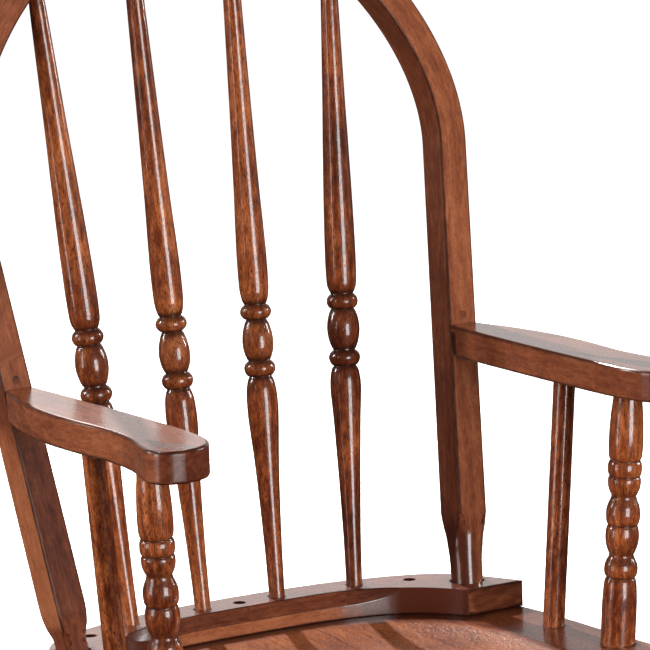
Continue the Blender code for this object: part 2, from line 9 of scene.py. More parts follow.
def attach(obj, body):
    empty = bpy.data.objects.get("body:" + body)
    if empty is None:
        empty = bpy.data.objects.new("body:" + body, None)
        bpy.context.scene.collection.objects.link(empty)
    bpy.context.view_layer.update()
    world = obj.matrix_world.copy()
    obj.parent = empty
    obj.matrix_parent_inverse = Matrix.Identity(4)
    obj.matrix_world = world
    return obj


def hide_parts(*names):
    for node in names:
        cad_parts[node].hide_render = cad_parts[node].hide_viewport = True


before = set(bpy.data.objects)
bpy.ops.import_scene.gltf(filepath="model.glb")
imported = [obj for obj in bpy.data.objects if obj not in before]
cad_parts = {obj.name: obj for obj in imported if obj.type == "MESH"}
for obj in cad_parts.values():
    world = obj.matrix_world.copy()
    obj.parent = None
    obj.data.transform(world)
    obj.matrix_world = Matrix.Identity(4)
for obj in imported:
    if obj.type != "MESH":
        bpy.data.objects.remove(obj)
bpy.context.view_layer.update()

scene = bpy.context.scene

# ---- dimensions in millimetres, as in the CAD --------------------------------------------------
SEAT_TILT = math.radians(3.5)
SEAT_ORIGIN = (0.0, -65.0, 330.0)
SEAT_THICK = 30.0
DISH_HALF_WIDTH, DISH_REAR_CENTRE, DISH_REAR_LENGTH, DISH_DEPTH = 134.0, 20.0, 140.0, 9.0
RAIL_TOP = 18.2
RAIL_BEVEL_DEPTH, RAIL_BEVEL_HEIGHT = 6.0, 9.0
RAIL_SCREWS = ((-124.6, 179.3), (0.0, 196.3), (124.6, 179.3))
BOW_Y, BOW_LEAN = 139.6, math.atan(0.213)
BOW_WIDTH, BOW_DEPTH = 20.6, 23.9
BOW_FOOT_X, BOW_FLARE = 153.0, 0.109
BOW_SPRING, BOW_CROWN = 297.7, 486.0
BOW_PULL_LEG, BOW_PULL_CROWN = 81.0, 107.0
BOW_FOOT_RADIUS = 10.8
SPINDLE_OUTER = ((87.3, 190.3), (0.0605, 0.1150))
SPINDLE_INNER = ((29.0, 195.4), (0.0200, 0.1095))
ARM_UNDER, ARM_TOP = 168.7, 189.3
POST_FOOT, POST_LEAN, POST_RADIUS = (170.0, 0.6), (0.0575, -0.0269), 11.5
STAY_FOOT, STAY_LEAN, STAY_RADIUS = (166.3, 68.8), (0.0796, -0.0049), 7.25
ROCKER_X, ROCKER_THICK, ROCKER_TALL, ROCKER_RADIUS = 168.0, 21.0, 38.0, 1000.0
ROCKER_HALF_LENGTH = 305.0
ROCKER_LOW_Y = 10.0
FRONT_LEG_TOP, FRONT_LEG_FOOT_Y = (140.0, -84.0), -188.0
REAR_LEG_TOP, REAR_LEG_FOOT_Y = (128.0, 160.0), 148.0
SIDE_RUNG, FRONT_RUNGS, REAR_RUNG = 0.27, (0.40, 0.84), 0.40
ARM_SCREW_HEAD = 21.0
GAP = 0.3

SEAT = Matrix.Translation(Vector(SEAT_ORIGIN)) @ Matrix.Rotation(-SEAT_TILT, 4, "X")
CHAIR = Matrix.Identity(4)
TO_METRES = Matrix.Scale(0.001, 4)

# ---- materials -------------------------------------------------------------------------------


class Nodes:
    """Short forms for building a node tree."""

    def __init__(self, material):
        material.use_nodes = True
        self.tree = material.node_tree
        self.shader = self.tree.nodes["Principled BSDF"]

    def add(self, kind, **settings):
        node = self.tree.nodes.new(kind)
        for key, value in settings.items():
            setattr(node, key, value)
        return node

    def feed(self, socket, value):
        if isinstance(value, bpy.types.NodeSocket):
            self.tree.links.new(value, socket)
        else:
            socket.default_value = value

    def attribute(self, name):
        return self.add("ShaderNodeAttribute", attribute_name=name, attribute_type="GEOMETRY")

    def scaled(self, vector, factors):
        node = self.add("ShaderNodeVectorMath", operation="MULTIPLY")
        self.feed(node.inputs[0], vector)
        node.inputs[1].default_value = factors
        return node.outputs["Vector"]

    def noise(self, vector, detail=2.0, rough=0.5, distortion=0.0):
        node = self.add("ShaderNodeTexNoise", noise_dimensions="3D")
        self.feed(node.inputs["Vector"], vector)
        node.inputs["Scale"].default_value = 1.0
        node.inputs["Detail"].default_value = detail
        node.inputs["Roughness"].default_value = rough
        node.inputs["Distortion"].default_value = distortion
        return node.outputs[0]

    def math(self, operation, a, b=0.0, c=0.0, clamp=False):
        node = self.add("ShaderNodeMath", operation=operation, use_clamp=clamp)
        for socket, value in zip(node.inputs, (a, b, c)):
            self.feed(socket, value)
        return node.outputs[0]

    def ranged(self, value, a, b, low=0.0, high=1.0, smooth=True):
        node = self.add("ShaderNodeMapRange", interpolation_type="SMOOTHSTEP" if smooth else "LINEAR")
        self.feed(node.inputs["Value"], value)
        for key, number in (("From Min", a), ("From Max", b), ("To Min", low), ("To Max", high)):
            self.feed(node.inputs[key], number)
        return node.outputs[0]

    def mix(self, factor, a, b, blend="MIX"):
        node = self.add("ShaderNodeMix", data_type="RGBA", blend_type=blend)
        self.feed(node.inputs[0], factor)
        for socket, value in ((node.inputs[6], a), (node.inputs[7], b)):
            self.feed(socket, (*value, 1.0) if isinstance(value, tuple) and len(value) == 3 else value)
        return node.outputs[2]

    def ramp(self, value, stops):
        node = self.add("ShaderNodeValToRGB")
        ramp = node.color_ramp
        while len(ramp.elements) < len(stops):
            ramp.elements.new(0.5)
        for element, (place, colour) in zip(ramp.elements, stops):
            element.position = place
            element.color = (*colour, 1.0)
        self.feed(node.inputs[0], value)
        return node.outputs[0]


def lacquered_wood(name, tones, contrast=1.0, flecks=1.0, roughness=0.30, peel=1.0, coat=1.0, gloss=0.055, edges=0.25, relief=0.5, reach=0.004, open_at=0.66, dish=False, dark=(0.022, 0.0050, 0.0026)):
    """Stained, close-grained hardwood under gloss lacquer. Reads the piece's own grain frame, in metres, Z along the grain."""
    material = bpy.data.materials.new(name)
    n = Nodes(material)
    grain = n.attribute("grain").outputs["Vector"]
    # per-vertex darkening: the hollows of turnings, and painted shade inside bores, in front of the rail and on upward
    # slopes near the beads
    shape = n.attribute("shape").outputs["Fac"]
    glaze_and_shade = n.attribute("glaze_and_shade").outputs["Fac"]
    end = n.attribute("end").outputs["Fac"]
    tone_and_painted_light = n.attribute("tone_and_painted_light").outputs["Fac"]
    dull = n.attribute("dull").outputs["Fac"]

    cloud = n.noise(n.scaled(grain, (46.0, 46.0, 15.0)), 3.0, 0.6, 0.4)
    patch = n.noise(n.scaled(grain, (15.0, 15.0, 19.0)), 2.0, 0.5)
    blotch = n.noise(n.scaled(grain, (330.0, 330.0, 105.0)), 2.0, 0.6, 0.3)
    parts = n.add("ShaderNodeSeparateXYZ")
    n.feed(parts.inputs[0], grain)
    flat = n.add("ShaderNodeCombineXYZ")
    n.feed(flat.inputs[0], parts.outputs[0])
    n.feed(flat.inputs[1], parts.outputs[1])
    radius = n.add("ShaderNodeVectorMath", operation="LENGTH")
    n.feed(radius.inputs[0], flat.outputs[0])
    wander = n.math("MULTIPLY_ADD", cloud, 0.010, radius.outputs["Value"])
    rings = n.add("ShaderNodeTexNoise", noise_dimensions="1D")
    n.feed(rings.inputs["W"], n.math("MULTIPLY", wander, 330.0))
    rings.inputs["Scale"].default_value = 1.0
    rings.inputs["Detail"].default_value = 1.5
    ring = rings.outputs[0]
    fibre = n.noise(n.scaled(grain, (1350.0, 1350.0, 48.0)), 2.0, 0.6)
    fleck_field = n.noise(n.scaled(grain, (1850.0, 1850.0, 330.0)), 1.5, 0.55)
    density = n.math("MULTIPLY_ADD", ring, 0.07, n.math("MULTIPLY", cloud, 0.06))
    fleck = n.ranged(n.math("ADD", fleck_field, density), 0.615, 0.69)

    tone = n.math("MULTIPLY_ADD", n.math("SUBTRACT", cloud, 0.5), 0.95 * contrast, 0.5)
    tone = n.math("MULTIPLY_ADD", n.math("SUBTRACT", patch, 0.5), 0.60 * contrast, tone)
    tone = n.math("MULTIPLY_ADD", n.math("SUBTRACT", ring, 0.5), 0.45 * contrast, tone)
    tone = n.math("MULTIPLY_ADD", n.math("SUBTRACT", blotch, 0.5), 0.95 * contrast, tone)
    tone = n.math("MULTIPLY_ADD", n.math("SUBTRACT", fibre, 0.5), 0.55 * contrast, tone)
    # per-piece tone shift, which also carries painted light and shade on the rail, bow, seat and arms
    tone = n.math("MULTIPLY_ADD", tone_and_painted_light, 0.28, tone)
    tone = n.math("MULTIPLY_ADD", end, -0.16, tone, clamp=True)
    colour = n.ramp(tone, tuple(zip((0.08, 0.40, 0.66, 0.95), tones)))
    colour = n.mix(n.math("MULTIPLY", fleck, 0.66 * flecks), colour, dark)

    # darker in the hollows between turnings; painted shade in recesses, under and between pieces, from the occlusion
    # node and from the per-vertex shade attribute; and a little darker along sharp edges
    hollow = n.math("MAXIMUM", n.math("MULTIPLY", n.ranged(shape, -0.10, -0.75), 0.80), n.math("MULTIPLY", glaze_and_shade, 0.86))
    shelter = n.add("ShaderNodeAmbientOcclusion", samples=6)
    shelter.inputs["Distance"].default_value = reach
    occluded_shade = n.math("MULTIPLY", n.ranged(shelter.outputs["AO"], open_at, open_at - 0.44), 0.80)
    hollow = n.math("MAXIMUM", hollow, occluded_shade)
    colour = n.mix(hollow, colour, (dark[0] * 0.9, dark[1] * 0.9, dark[2] * 0.9))
    edge = n.ranged(shape, 0.16, 0.55)
    edge_break = n.ranged(n.noise(n.scaled(grain, (160.0, 160.0, 90.0)), 2.0), 0.38, 0.62)
    colour = n.mix(n.math("MULTIPLY", edge, n.math("MULTIPLY_ADD", edge_break, 0.25 * edges, edges)), colour, dark)
    n.feed(n.shader.inputs["Base Color"], colour)

    rough = n.math("MULTIPLY_ADD", fibre, 0.10, roughness - 0.05)
    rough = n.math("MULTIPLY_ADD", fleck, 0.18, rough)
    rough = n.math("MULTIPLY_ADD", hollow, 0.14, rough, clamp=True)
    n.feed(n.shader.inputs["Roughness"], rough)

    peel_field = n.noise(n.scaled(grain, (620.0, 620.0, 420.0)), 2.5, 0.6)
    height = n.math("MULTIPLY_ADD", fibre, 0.45, n.math("MULTIPLY", peel_field, 1.15 * peel))
    height = n.math("MULTIPLY_ADD", fleck, -0.50 * flecks, height)
    if dish:
        scooped = n.attribute("dish").outputs["Fac"]
        ripple = n.noise(n.scaled(grain, (420.0, 420.0, 420.0)), 2.5, 0.55, 0.4)
        height = n.math("MULTIPLY_ADD", n.math("MULTIPLY", ripple, scooped), 13.0, height)
    bump = n.add("ShaderNodeBump")
    bump.inputs["Strength"].default_value = relief
    bump.inputs["Distance"].default_value = 0.00005
    n.feed(bump.inputs["Height"], height)
    n.feed(n.shader.inputs["Normal"], bump.outputs[0])
    n.shader.inputs["IOR"].default_value = 1.45
    n.shader.inputs["Specular IOR Level"].default_value = 0.22
    n.feed(n.shader.inputs["Coat Weight"], n.math("MULTIPLY", n.math("MULTIPLY_ADD", end, -0.7 * coat, coat), n.math("MULTIPLY_ADD", n.math("MULTIPLY", edge, dull), -0.85, 1.0)))
    n.shader.inputs["Coat Roughness"].default_value = gloss
    n.shader.inputs["Coat IOR"].default_value = 1.5
    n.feed(n.shader.inputs["Coat Normal"], bump.outputs[0])
    return material


def zinc_steel(name):
    """Dark passivated screw steel, with fine turning marks and worn edges."""
    material = bpy.data.materials.new(name)
    n = Nodes(material)
    grain = n.attribute("grain").outputs["Vector"]
    shape = n.attribute("shape").outputs["Fac"]
    marks = n.noise(n.scaled(grain, (900.0, 900.0, 4200.0)), 2.0, 0.6)
    cloud = n.noise(n.scaled(grain, (420.0, 420.0, 420.0)), 3.0, 0.6)
    colour = n.ramp(cloud, ((0.25, (0.115, 0.105, 0.095)), (0.5, (0.17, 0.16, 0.15)), (0.62, (0.21, 0.195, 0.17)), (0.85, (0.26, 0.25, 0.235))))
    colour = n.mix(n.ranged(shape, 0.3, 1.0), colour, (0.42, 0.41, 0.39))
    n.feed(n.shader.inputs["Base Color"], colour)
    n.shader.inputs["Metallic"].default_value = 1.0
    n.feed(n.shader.inputs["Roughness"], n.math("MULTIPLY_ADD", marks, 0.22, 0.28))
    bump = n.add("ShaderNodeBump")
    bump.inputs["Strength"].default_value = 0.4
    bump.inputs["Distance"].default_value = 0.00005
    n.feed(bump.inputs["Height"], marks)
    n.feed(n.shader.inputs["Normal"], bump.outputs[0])
    return material


TONES_TURNED = ((0.074, 0.013, 0.0042), (0.182, 0.039, 0.011), (0.332, 0.084, 0.023), (0.495, 0.152, 0.047))
TONES_BOW = ((0.074, 0.017, 0.008), (0.165, 0.043, 0.018), (0.280, 0.082, 0.033), (0.405, 0.138, 0.060))
TONES_SEAT = ((0.076, 0.016, 0.006), (0.168, 0.041, 0.013), (0.265, 0.076, 0.025), (0.370, 0.122, 0.042))
TONES_PLUG = ((0.075, 0.018, 0.007), (0.155, 0.042, 0.016), (0.240, 0.072, 0.027), (0.330, 0.110, 0.042))

MATERIALS = {
    "turned_wood": lacquered_wood("lacquer_turned", TONES_TURNED, contrast=1.2, flecks=1.2),
    "bow_wood": lacquered_wood("lacquer_bow", TONES_BOW, contrast=0.66, flecks=0.5, edges=0.70, gloss=0.14, relief=0.22),
    "seat_wood": lacquered_wood("lacquer_seat", TONES_SEAT, contrast=0.85, flecks=0.7, coat=0.34, gloss=0.10, reach=0.016, open_at=0.80, edges=0.5, dish=True),
    "plug_wood": lacquered_wood("lacquer_plug", TONES_PLUG, roughness=0.4),
    "screw_steel": zinc_steel("screw_zinc"),
}

# ---- mesh helpers ----------------------------------------------------------------------------


def smoothstep(a, b, x):
    u = min(1.0, max(0.0, (x - a) / (b - a)))  # b may be the lower one
    return u * u * (3 - 2 * u)


def spline(points, steps):
    """Catmull-Rom curve through points, with steps spans between each pair."""
    pts = [Vector(p) for p in points]
    pts = [2 * pts[0] - pts[1]] + pts + [2 * pts[-1] - pts[-2]]
    out = []
    for i in range(1, len(pts) - 2):
        a, b, c, d = pts[i - 1 : i + 3]
        for s in range(steps):
            t = s / steps
            out.append(0.5 * (2 * b + (c - a) * t + (2 * a - 5 * b + 4 * c - d) * t * t + (3 * b - a - 3 * c + d) * t * t * t))
    out.append(pts[-2])
    return out


def along(start, direction):
    """A frame at start with its Z along direction."""
    return Matrix.Translation(Vector(start)) @ Vector(direction).to_track_quat("Z", "Y").to_matrix().to_4x4()


def mirrored(p, s):
    return Vector((s * p[0], p[1], p[2]))


def lathe(bm, profile, sides, place, twist=0.0):
    """Adds a turned body to bm: profile is (height, radius) from low to high, along place's Z."""
    cos = [math.cos(twist + 2 * math.pi * j / sides) for j in range(sides)]
    sin = [math.sin(twist + 2 * math.pi * j / sides) for j in range(sides)]
    rows = [[bm.verts.new(place @ Vector((r * c, r * s, h))) for c, s in zip(cos, sin)] for h, r in profile]
    for low, high in zip(rows, rows[1:]):
        for j in range(sides):
            k = (j + 1) % sides
            bm.faces.new((low[j], low[k], high[k], high[j]))
    bm.faces.new(list(reversed(rows[0])))
    bm.faces.new(rows[-1])


def loft(bm, rings):
    rows = [[bm.verts.new(Vector(p)) for p in ring] for ring in rings]
    n = len(rows[0])
    for low, high in zip(rows, rows[1:]):
        for j in range(n):
            k = (j + 1) % n
            bm.faces.new((low[j], low[k], high[k], high[j]))
    bm.faces.new(list(reversed(rows[0])))
    bm.faces.new(rows[-1])


def plain_object(name, bm):
    bmesh.ops.recalc_face_normals(bm, faces=bm.faces)
    mesh = bpy.data.meshes.new(name)
    bm.to_mesh(mesh)
    bm.free()
    obj = bpy.data.objects.new(name, mesh)
    scene.collection.objects.link(obj)
    return obj


def cut(obj, cutters):
    """Takes closed bodies away from obj, one after another, and leaves plain mesh behind."""
    for i, cutter in enumerate(cutters):
        tool = plain_object("tool_%d" % i, cutter)
        modifier = obj.modifiers.new("cut_%d" % i, "BOOLEAN")
        modifier.operation = "DIFFERENCE"
        modifier.solver = "EXACT"
        modifier.object = tool
    bpy.context.view_layer.update()
    graph = bpy.context.evaluated_depsgraph_get()
    mesh = bpy.data.meshes.new_from_object(obj.evaluated_get(graph), depsgraph=graph)
    tools = [m.object for m in obj.modifiers]
    obj.modifiers.clear()
    old = obj.data
    obj.data = mesh
    bpy.data.meshes.remove(old)
    for tool in tools:
        data = tool.data
        bpy.data.objects.remove(tool)
        bpy.data.meshes.remove(data)


def drill_body(start, direction, steps, sides=32):
    bm = bmesh.new()
    lathe(bm, steps, sides, along(start, direction), twist=0.05)
    return bm


def bends(mesh):
    """How sharply the surface bends at each vertex, in 1/mm: above 0 on edges, below 0 in hollows."""
    bm = bmesh.new()
    bm.from_mesh(mesh)
    bm.verts.ensure_lookup_table()
    total = np.zeros(len(bm.verts))
    for e in bm.edges:
        if len(e.link_faces) != 2:
            continue
        angle = e.calc_face_angle_signed(0.0)
        if abs(angle) < 1e-4:
            continue
        a, b = e.link_faces
        length = e.calc_length()
        span = 0.5 * (a.calc_area() + b.calc_area()) / max(length, 1e-6)
        value = angle / max(span, 0.25)
        for v in e.verts:
            if abs(value) > abs(total[v.index]):
                total[v.index] = value
    pairs = np.array([[e.verts[0].index, e.verts[1].index] for e in bm.edges if e.calc_length() < 2.0])
    bm.free()
    if len(pairs):
        for _ in range(2):
            near, count = np.zeros_like(total), np.zeros_like(total)
            for i, j in ((0, 1), (1, 0)):
                np.add.at(near, pairs[:, i], total[pairs[:, j]])
                np.add.at(count, pairs[:, i], 1)
            total = np.where(count > 0, 0.5 * total + 0.5 * near / np.maximum(count, 1), total)
    return total


piece_count = 0


def piece(node, bm, frame_of, slot, grain_of, cutters=(), sharp=38.0, round_bias=0.0, extra=None, ends=True):
    """Turns bm, in millimetres in frame_of's space, into a finished piece that stands for a CAD node."""
    global piece_count
    piece_count += 1
    obj = plain_object(node + "_v", bm)
    if cutters:
        cut(obj, cutters)
    mesh = obj.data
    tidy = bmesh.new()
    tidy.from_mesh(mesh)
    bmesh.ops.remove_doubles(tidy, verts=tidy.verts, dist=0.002)
    bmesh.ops.dissolve_degenerate(tidy, edges=tidy.edges, dist=0.002)
    tidy.to_mesh(mesh)
    tidy.free()
    co = np.empty(len(mesh.vertices) * 3)
    mesh.vertices.foreach_get("co", co)
    co = co.reshape(-1, 3)
    local = grain_of(co)
    normals = np.empty(len(mesh.vertices) * 3, np.float32)
    mesh.vertices.foreach_get("normal", normals)
    normals = normals.reshape(-1, 3)
    more = {name: rule(co, local, normals) for name, rule in (extra or {}).items()}
    if ends:
        probe = grain_of(np.vstack([np.zeros(3), np.eye(3)]))
        axis = probe[1:, 2] - probe[0, 2]
        facing = np.abs(normals @ axis)
        more["end"] = np.clip((facing - 0.30) / 0.6, 0, 1)
        if "glaze_and_shade" in more:
            more["end"] = np.maximum(more["end"], more["glaze_and_shade"] > 0.95)
        if "matt" in more:
            more["end"] = np.maximum(more["end"], more.pop("matt"))
    # each piece is cut from its own place in its own board
    k = piece_count
    shift = np.array(((9 + 31 * ((k * 0.618) % 1)), (14 + 27 * ((k * 0.381) % 1)), 0.0))
    tilt = 0.012 + 0.03 * ((k * 0.27) % 1)
    local = local + shift
    local[:, 0] += tilt * (local[:, 2] % 997)
    local[:, 2] += 731.0 * (k % 41)
    shape = (bends(mesh) - round_bias).astype(np.float32)
    mesh.transform(TO_METRES @ frame_of)
    mesh.attributes.new("grain", "FLOAT_VECTOR", "POINT").data.foreach_set("vector", (local * 0.001).astype(np.float32).reshape(-1))
    mesh.attributes.new("shape", "FLOAT", "POINT").data.foreach_set("value", shape)
    for name, values in more.items():
        mesh.attributes.new(name, "FLOAT", "POINT").data.foreach_set("value", values.astype(np.float32))
    mesh.shade_smooth()
    mesh.set_sharp_from_angle(angle=math.radians(sharp))
    mesh.materials.clear()
    mesh.materials.append(MATERIALS[slot])
    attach(obj, "root")
    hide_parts(node)
    return obj


def frame_grain(place):
    """Grain coordinates of a piece whose own frame is place, Z along the grain."""
    inverse = np.array(place.inverted())
    return lambda co: co @ inverse[:3, :3].T + inverse[:3, 3]


def axis_grain(order):
    """Grain along one of the axes: order gives which axes become across, across and along."""
    return lambda co: co[:, list(order)].copy()


def groove_darkening(profile):
    """How much darker each height of a turned piece is drawn: most where it is thinner than what lies close by."""
    h, r = np.array([p[0] for p in profile]), np.array([p[1] for p in profile])
    grid = np.arange(h[0], h[-1], 0.25)
    radius = np.interp(grid, h, r)
    reach = 24
    padded = np.pad(radius, reach, mode="edge")
    crest = np.array([padded[i : i + 2 * reach + 1].max() for i in range(len(grid))])
    gap = np.clip((crest - radius - 0.25) / 2.3, 0, 1)
    return grid, gap * gap * (3 - 2 * gap)


def turned(node, profile, place, frame_of, slot="turned_wood", sides=56, cutters=(), sharp=50.0, glaze_and_shade=1.0, tone_and_painted_light=0.0, darker_zones=None):
    bm = bmesh.new()
    lathe(bm, profile, sides, place)
    grid, gap = groove_darkening(profile)
    gap = glaze_and_shade * gap
    # darker towards the foot and over the beads
    if darker_zones:
        gap = np.maximum(gap, 0.30 * np.clip((70 - grid) / 70, 0, 1))
        gap = np.maximum(gap, 0.34 * np.clip((grid - darker_zones[0]) / 2, 0, 1) * np.clip((darker_zones[1] - grid) / 14, 0, 1))
    ringed = groove_darkening(profile)[1]
    span = 40
    ringed = np.pad(ringed, span, mode="edge")
    ringed = np.array([ringed[i : i + 2 * span + 1].max() for i in range(len(grid))])
    axis = np.array(place.to_3x3() @ Vector((0, 0, 1)))

    def hollows_and_top_shade(co, local, normals):
        # painted shade: slopes facing up along the axis near the beads drawn darker, on top of the darker hollows and
        # zones
        up = np.clip((normals @ axis - 0.04) / 0.5, 0, 1)
        return np.maximum(np.interp(local[:, 2], grid, gap), 0.80 * up * np.interp(local[:, 2], grid, ringed))

    extra = {"glaze_and_shade": hollows_and_top_shade, "tone_and_painted_light": lambda co, local, normals: np.full(len(co), tone_and_painted_light)}
    return piece(node, bm, frame_of, slot, frame_grain(place), cutters, sharp, extra=extra, ends=False)


# ---- turned profiles, (height, radius) -------------------------------------------------------


def flowing(knots, step=1.6):
    """A smooth line through knots that never overshoots them."""
    x, y = np.array([k[0] for k in knots], float), np.array([k[1] for k in knots], float)
    h, d = np.diff(x), np.diff(y) / np.diff(x)
    m = np.zeros(len(x))
    for i in range(1, len(x) - 1):
        if d[i - 1] * d[i] > 0:
            w1, w2 = 2 * h[i] + h[i - 1], h[i] + 2 * h[i - 1]
            m[i] = (w1 + w2) / (w1 / d[i - 1] + w2 / d[i])
    m[0], m[-1] = d[0], d[-1]
    out = []
    for i in range(len(h)):
        count = max(2, int(math.ceil(h[i] / step)))
        for s in range(count):
            t = s / count
            out.append((
                float(x[i] + t * h[i]),
                float((2 * t**3 - 3 * t**2 + 1) * y[i] + (t**3 - 2 * t**2 + t) * h[i] * m[i] + (-2 * t**3 + 3 * t**2) * y[i + 1] + (t**3 - t**2) * h[i] * m[i + 1]),
            ))
    out.append((float(x[-1]), float(y[-1])))
    return out


def swell(low, high, r_low, crest, r_high, peak=0.5, power=0.62, steps=16):
    """A round moulding: from r_low up to crest at peak and back to r_high."""
    out = []
    for i in range(steps + 1):
        u = 0.5 - 0.5 * math.cos(math.pi * i / steps)
        if u <= peak:
            r = r_low + (crest - r_low) * math.sin(0.5 * math.pi * u / peak) ** power
        else:
            r = r_high + (crest - r_high) * math.sin(0.5 * math.pi * (1 - u) / (1 - peak)) ** power
        out.append((low + (high - low) * u, r))
    return out


def joined(*pieces):
    out = []
    for p in pieces:
        for h, r in p:
            if not out or h > out[-1][0] + 0.02:
                out.append((h, r))
    return out


def outer_spindle_profile(length):
    return joined(
        [(-13.5, 4.3), (-13.0, 4.6), (-2.7, 4.6), (-2.6, 5.4)],
        flowing([(0.0, 5.45), (12, 5.62), (24, 5.77), (36, 6.06), (48, 6.45), (60, 6.9), (72, 7.33), (84, 7.85), (96, 8.4), (108, 8.95), (116, 9.4), (124, 9.95), (130, 10.35), (134, 10.47), (138, 10.35), (142, 9.95), (145, 9.4), (147.2, 8.7), (148.5, 7.8)]),
        swell(148.9, 159.3, 7.5, 10.6, 7.4, peak=0.52),
        swell(159.9, 187.2, 7.4, 11.0, 7.7, peak=0.516, power=0.72, steps=24),
        swell(187.4, 197.2, 7.8, 10.55, 7.7, peak=0.48),
        flowing([(197.5, 7.6), (198.6, 8.15), (200, 8.85), (202, 9.55), (204, 9.93), (206, 10.12), (210, 10.27), (216, 10.4), (222, 10.42), (232, 10.3), (240, 10.2), (252, 9.95), (264, 9.68), (276, 9.35), (288, 8.94), (300, 8.62), (312, 8.2), (324, 7.8), (336, 7.45), (348, 7.13), (360, 6.82), (384, 6.22), (length - 14, 5.5), (length, 4.75)]),
        [(length + 0.6, 4.7), (length + 10.5, 4.7), (length + 11.0, 4.4)],
    )


def inner_spindle_profile(length):
    return joined(
        [(-13.5, 4.3), (-13.0, 4.6), (-2.7, 4.6), (-2.6, 5.3)],
        flowing([(0.0, 5.35), (12, 5.52), (24, 5.7), (36, 6.0), (48, 6.4), (60, 6.8), (72, 7.3), (84, 7.88), (96, 8.55), (108, 9.4), (116, 9.95), (124, 10.4), (130, 10.5), (134, 10.4), (138, 10.15), (142, 9.7), (145, 9.05), (147.2, 8.3), (148.5, 7.6)]),
        swell(148.9, 159.2, 7.5, 10.55, 7.4, peak=0.52),
        swell(159.7, 186.9, 7.3, 10.42, 6.7, peak=0.43, power=0.72, steps=24),
        swell(187.1, 197.0, 6.8, 10.5, 7.2, peak=0.5),
        flowing([(197.3, 7.2), (198.6, 8.1), (200, 8.6), (202, 9.06), (204, 9.42), (206, 9.7), (208, 9.88), (212, 10.0), (218, 10.08), (228, 10.05), (236, 9.9), (244, 9.65), (252, 9.43), (264, 8.97), (276, 8.6), (288, 8.3), (300, 8.0), (312, 7.72), (324, 7.47), (336, 7.25), (348, 7.05), (360, 6.8), (384, 6.4), (408, 5.95), (length - 14, 5.3), (length, 4.75)]),
        [(length + 0.6, 4.7), (length + 10.5, 4.7), (length + 11.0, 4.4)],
    )


def arm_post_profile(top):
    return joined(
        [(-13.7, 11.0), (-13.2, 11.4)],
        flowing([(-12.0, 11.45), (0.0, 11.5), (24.0, 11.5), (31, 11.35), (36, 11.08), (40, 10.78), (43, 10.3), (44.6, 9.5)]),
        flowing([(45.2, 9.3), (45.9, 10.1), (47, 10.6), (48.5, 10.95), (50.5, 11.12), (52.5, 10.95), (54, 10.58), (55.5, 10.0), (57, 9.25), (58.3, 8.6), (59.6, 8.2), (60.2, 8.15)], 0.9),
        flowing([(60.8, 8.3), (61.8, 8.8), (63, 9.3), (64.5, 9.85), (66, 10.28), (69, 10.9), (72, 11.1), (75, 10.98), (77, 10.65), (78.6, 10.2), (79.5, 9.75)], 0.9),
        flowing([(79.9, 9.75), (80.8, 10.3), (82.5, 10.9), (84.5, 11.2), (87, 11.32), (89.5, 11.15), (92, 10.65), (94, 10.0), (96, 9.15), (97.5, 8.55), (98.8, 8.25)], 0.9),
        flowing([(99.6, 8.3), (100.6, 8.8), (102, 9.5), (104, 10.25), (106, 10.7), (108, 10.9), (110, 10.85), (111.3, 10.5), (112, 10.0)], 0.9),
        flowing([(112.4, 10.0), (113.2, 10.6), (114.6, 11.0), (116.6, 11.28), (118.5, 11.25), (120.4, 11.0), (121.8, 10.5), (122.6, 9.9)], 0.9),
        flowing([(123.1, 9.9), (124.2, 10.5), (126, 10.95), (129, 11.17), (133, 11.3), (137, 11.28), (141, 11.2), (146, 10.98), (150, 10.75), (154, 10.5), (158, 10.1), (162, 9.7), (top - 11.9, 9.3)]),
        [(top - 11.6, 8.7), (top - 0.5, 8.7), (top, 8.3)],
    )


def leg_profile(length):
    k = length / 260.0
    return joined(
        [(-17.0, 6.2), (-16.5, 6.5), (0.3, 6.5)],
        flowing([(0.6, 7.8), (2.2, 8.7), (6.0, 9.2), (14.0, 9.7), (30 * k, 10.2), (60 * k, 11.5), (92 * k, 12.6), (104 * k, 12.3), (109 * k, 11.4), (112 * k, 9.9)]),
        swell(112.8 * k, 126.4 * k, 9.6, 12.3, 9.2),
        swell(127.4 * k, 150.6 * k, 9.2, 12.6, 9.2, power=0.6, steps=22),
        swell(151.6 * k, 166.2 * k, 9.2, 12.3, 9.6),
        flowing([(167.0 * k, 9.8), (169.0 * k, 10.8), (175 * k, 12.0), (186 * k, 12.6), (205 * k, 12.2), (230 * k, 11.0), (length - 1.0, 9.75)]),
        [(length, 9.6), (length + 16.5, 9.6), (length + 17, 9.3)],
    )


def half_mirrored(half, length):
    return half + [(length - h, r) for h, r in reversed(half) if length - h > half[-1][0] + 0.02]


def front_stretcher_profile(length):
    q = length
    half = joined(
        [(-9.0, 4.4), (-8.6, 4.6), (1.6, 4.6)],
        flowing([(2.0, 4.7), (q * 0.10, 5.9), (q * 0.20, 7.5), (q * 0.27, 8.35), (q * 0.305, 8.4), (q * 0.318, 7.7), (q * 0.324, 6.7)]),
        swell(q * 0.328, q * 0.352, 6.6, 8.5, 6.9, steps=12),
        swell(q * 0.356, q * 0.382, 6.9, 8.7, 6.6, steps=12),
        flowing([(q * 0.385, 6.7), (q * 0.392, 7.7), (q * 0.41, 8.6), (q * 0.45, 9.3), (q * 0.499, 9.6)]),
    )
    return half_mirrored(half, q)


def plain_stretcher_profile(length):
    half = joined([(-9.0, 4.4), (-8.6, 4.6), (1.6, 4.6)], flowing([(2.0, 4.7), (length * 0.12, 6.0), (length * 0.25, 7.1), (length * 0.38, 8.2), (length * 0.499, 8.6)], 4.0))
    return half_mirrored(half, length)


# ---- seat ------------------------------------------------------------------------------------

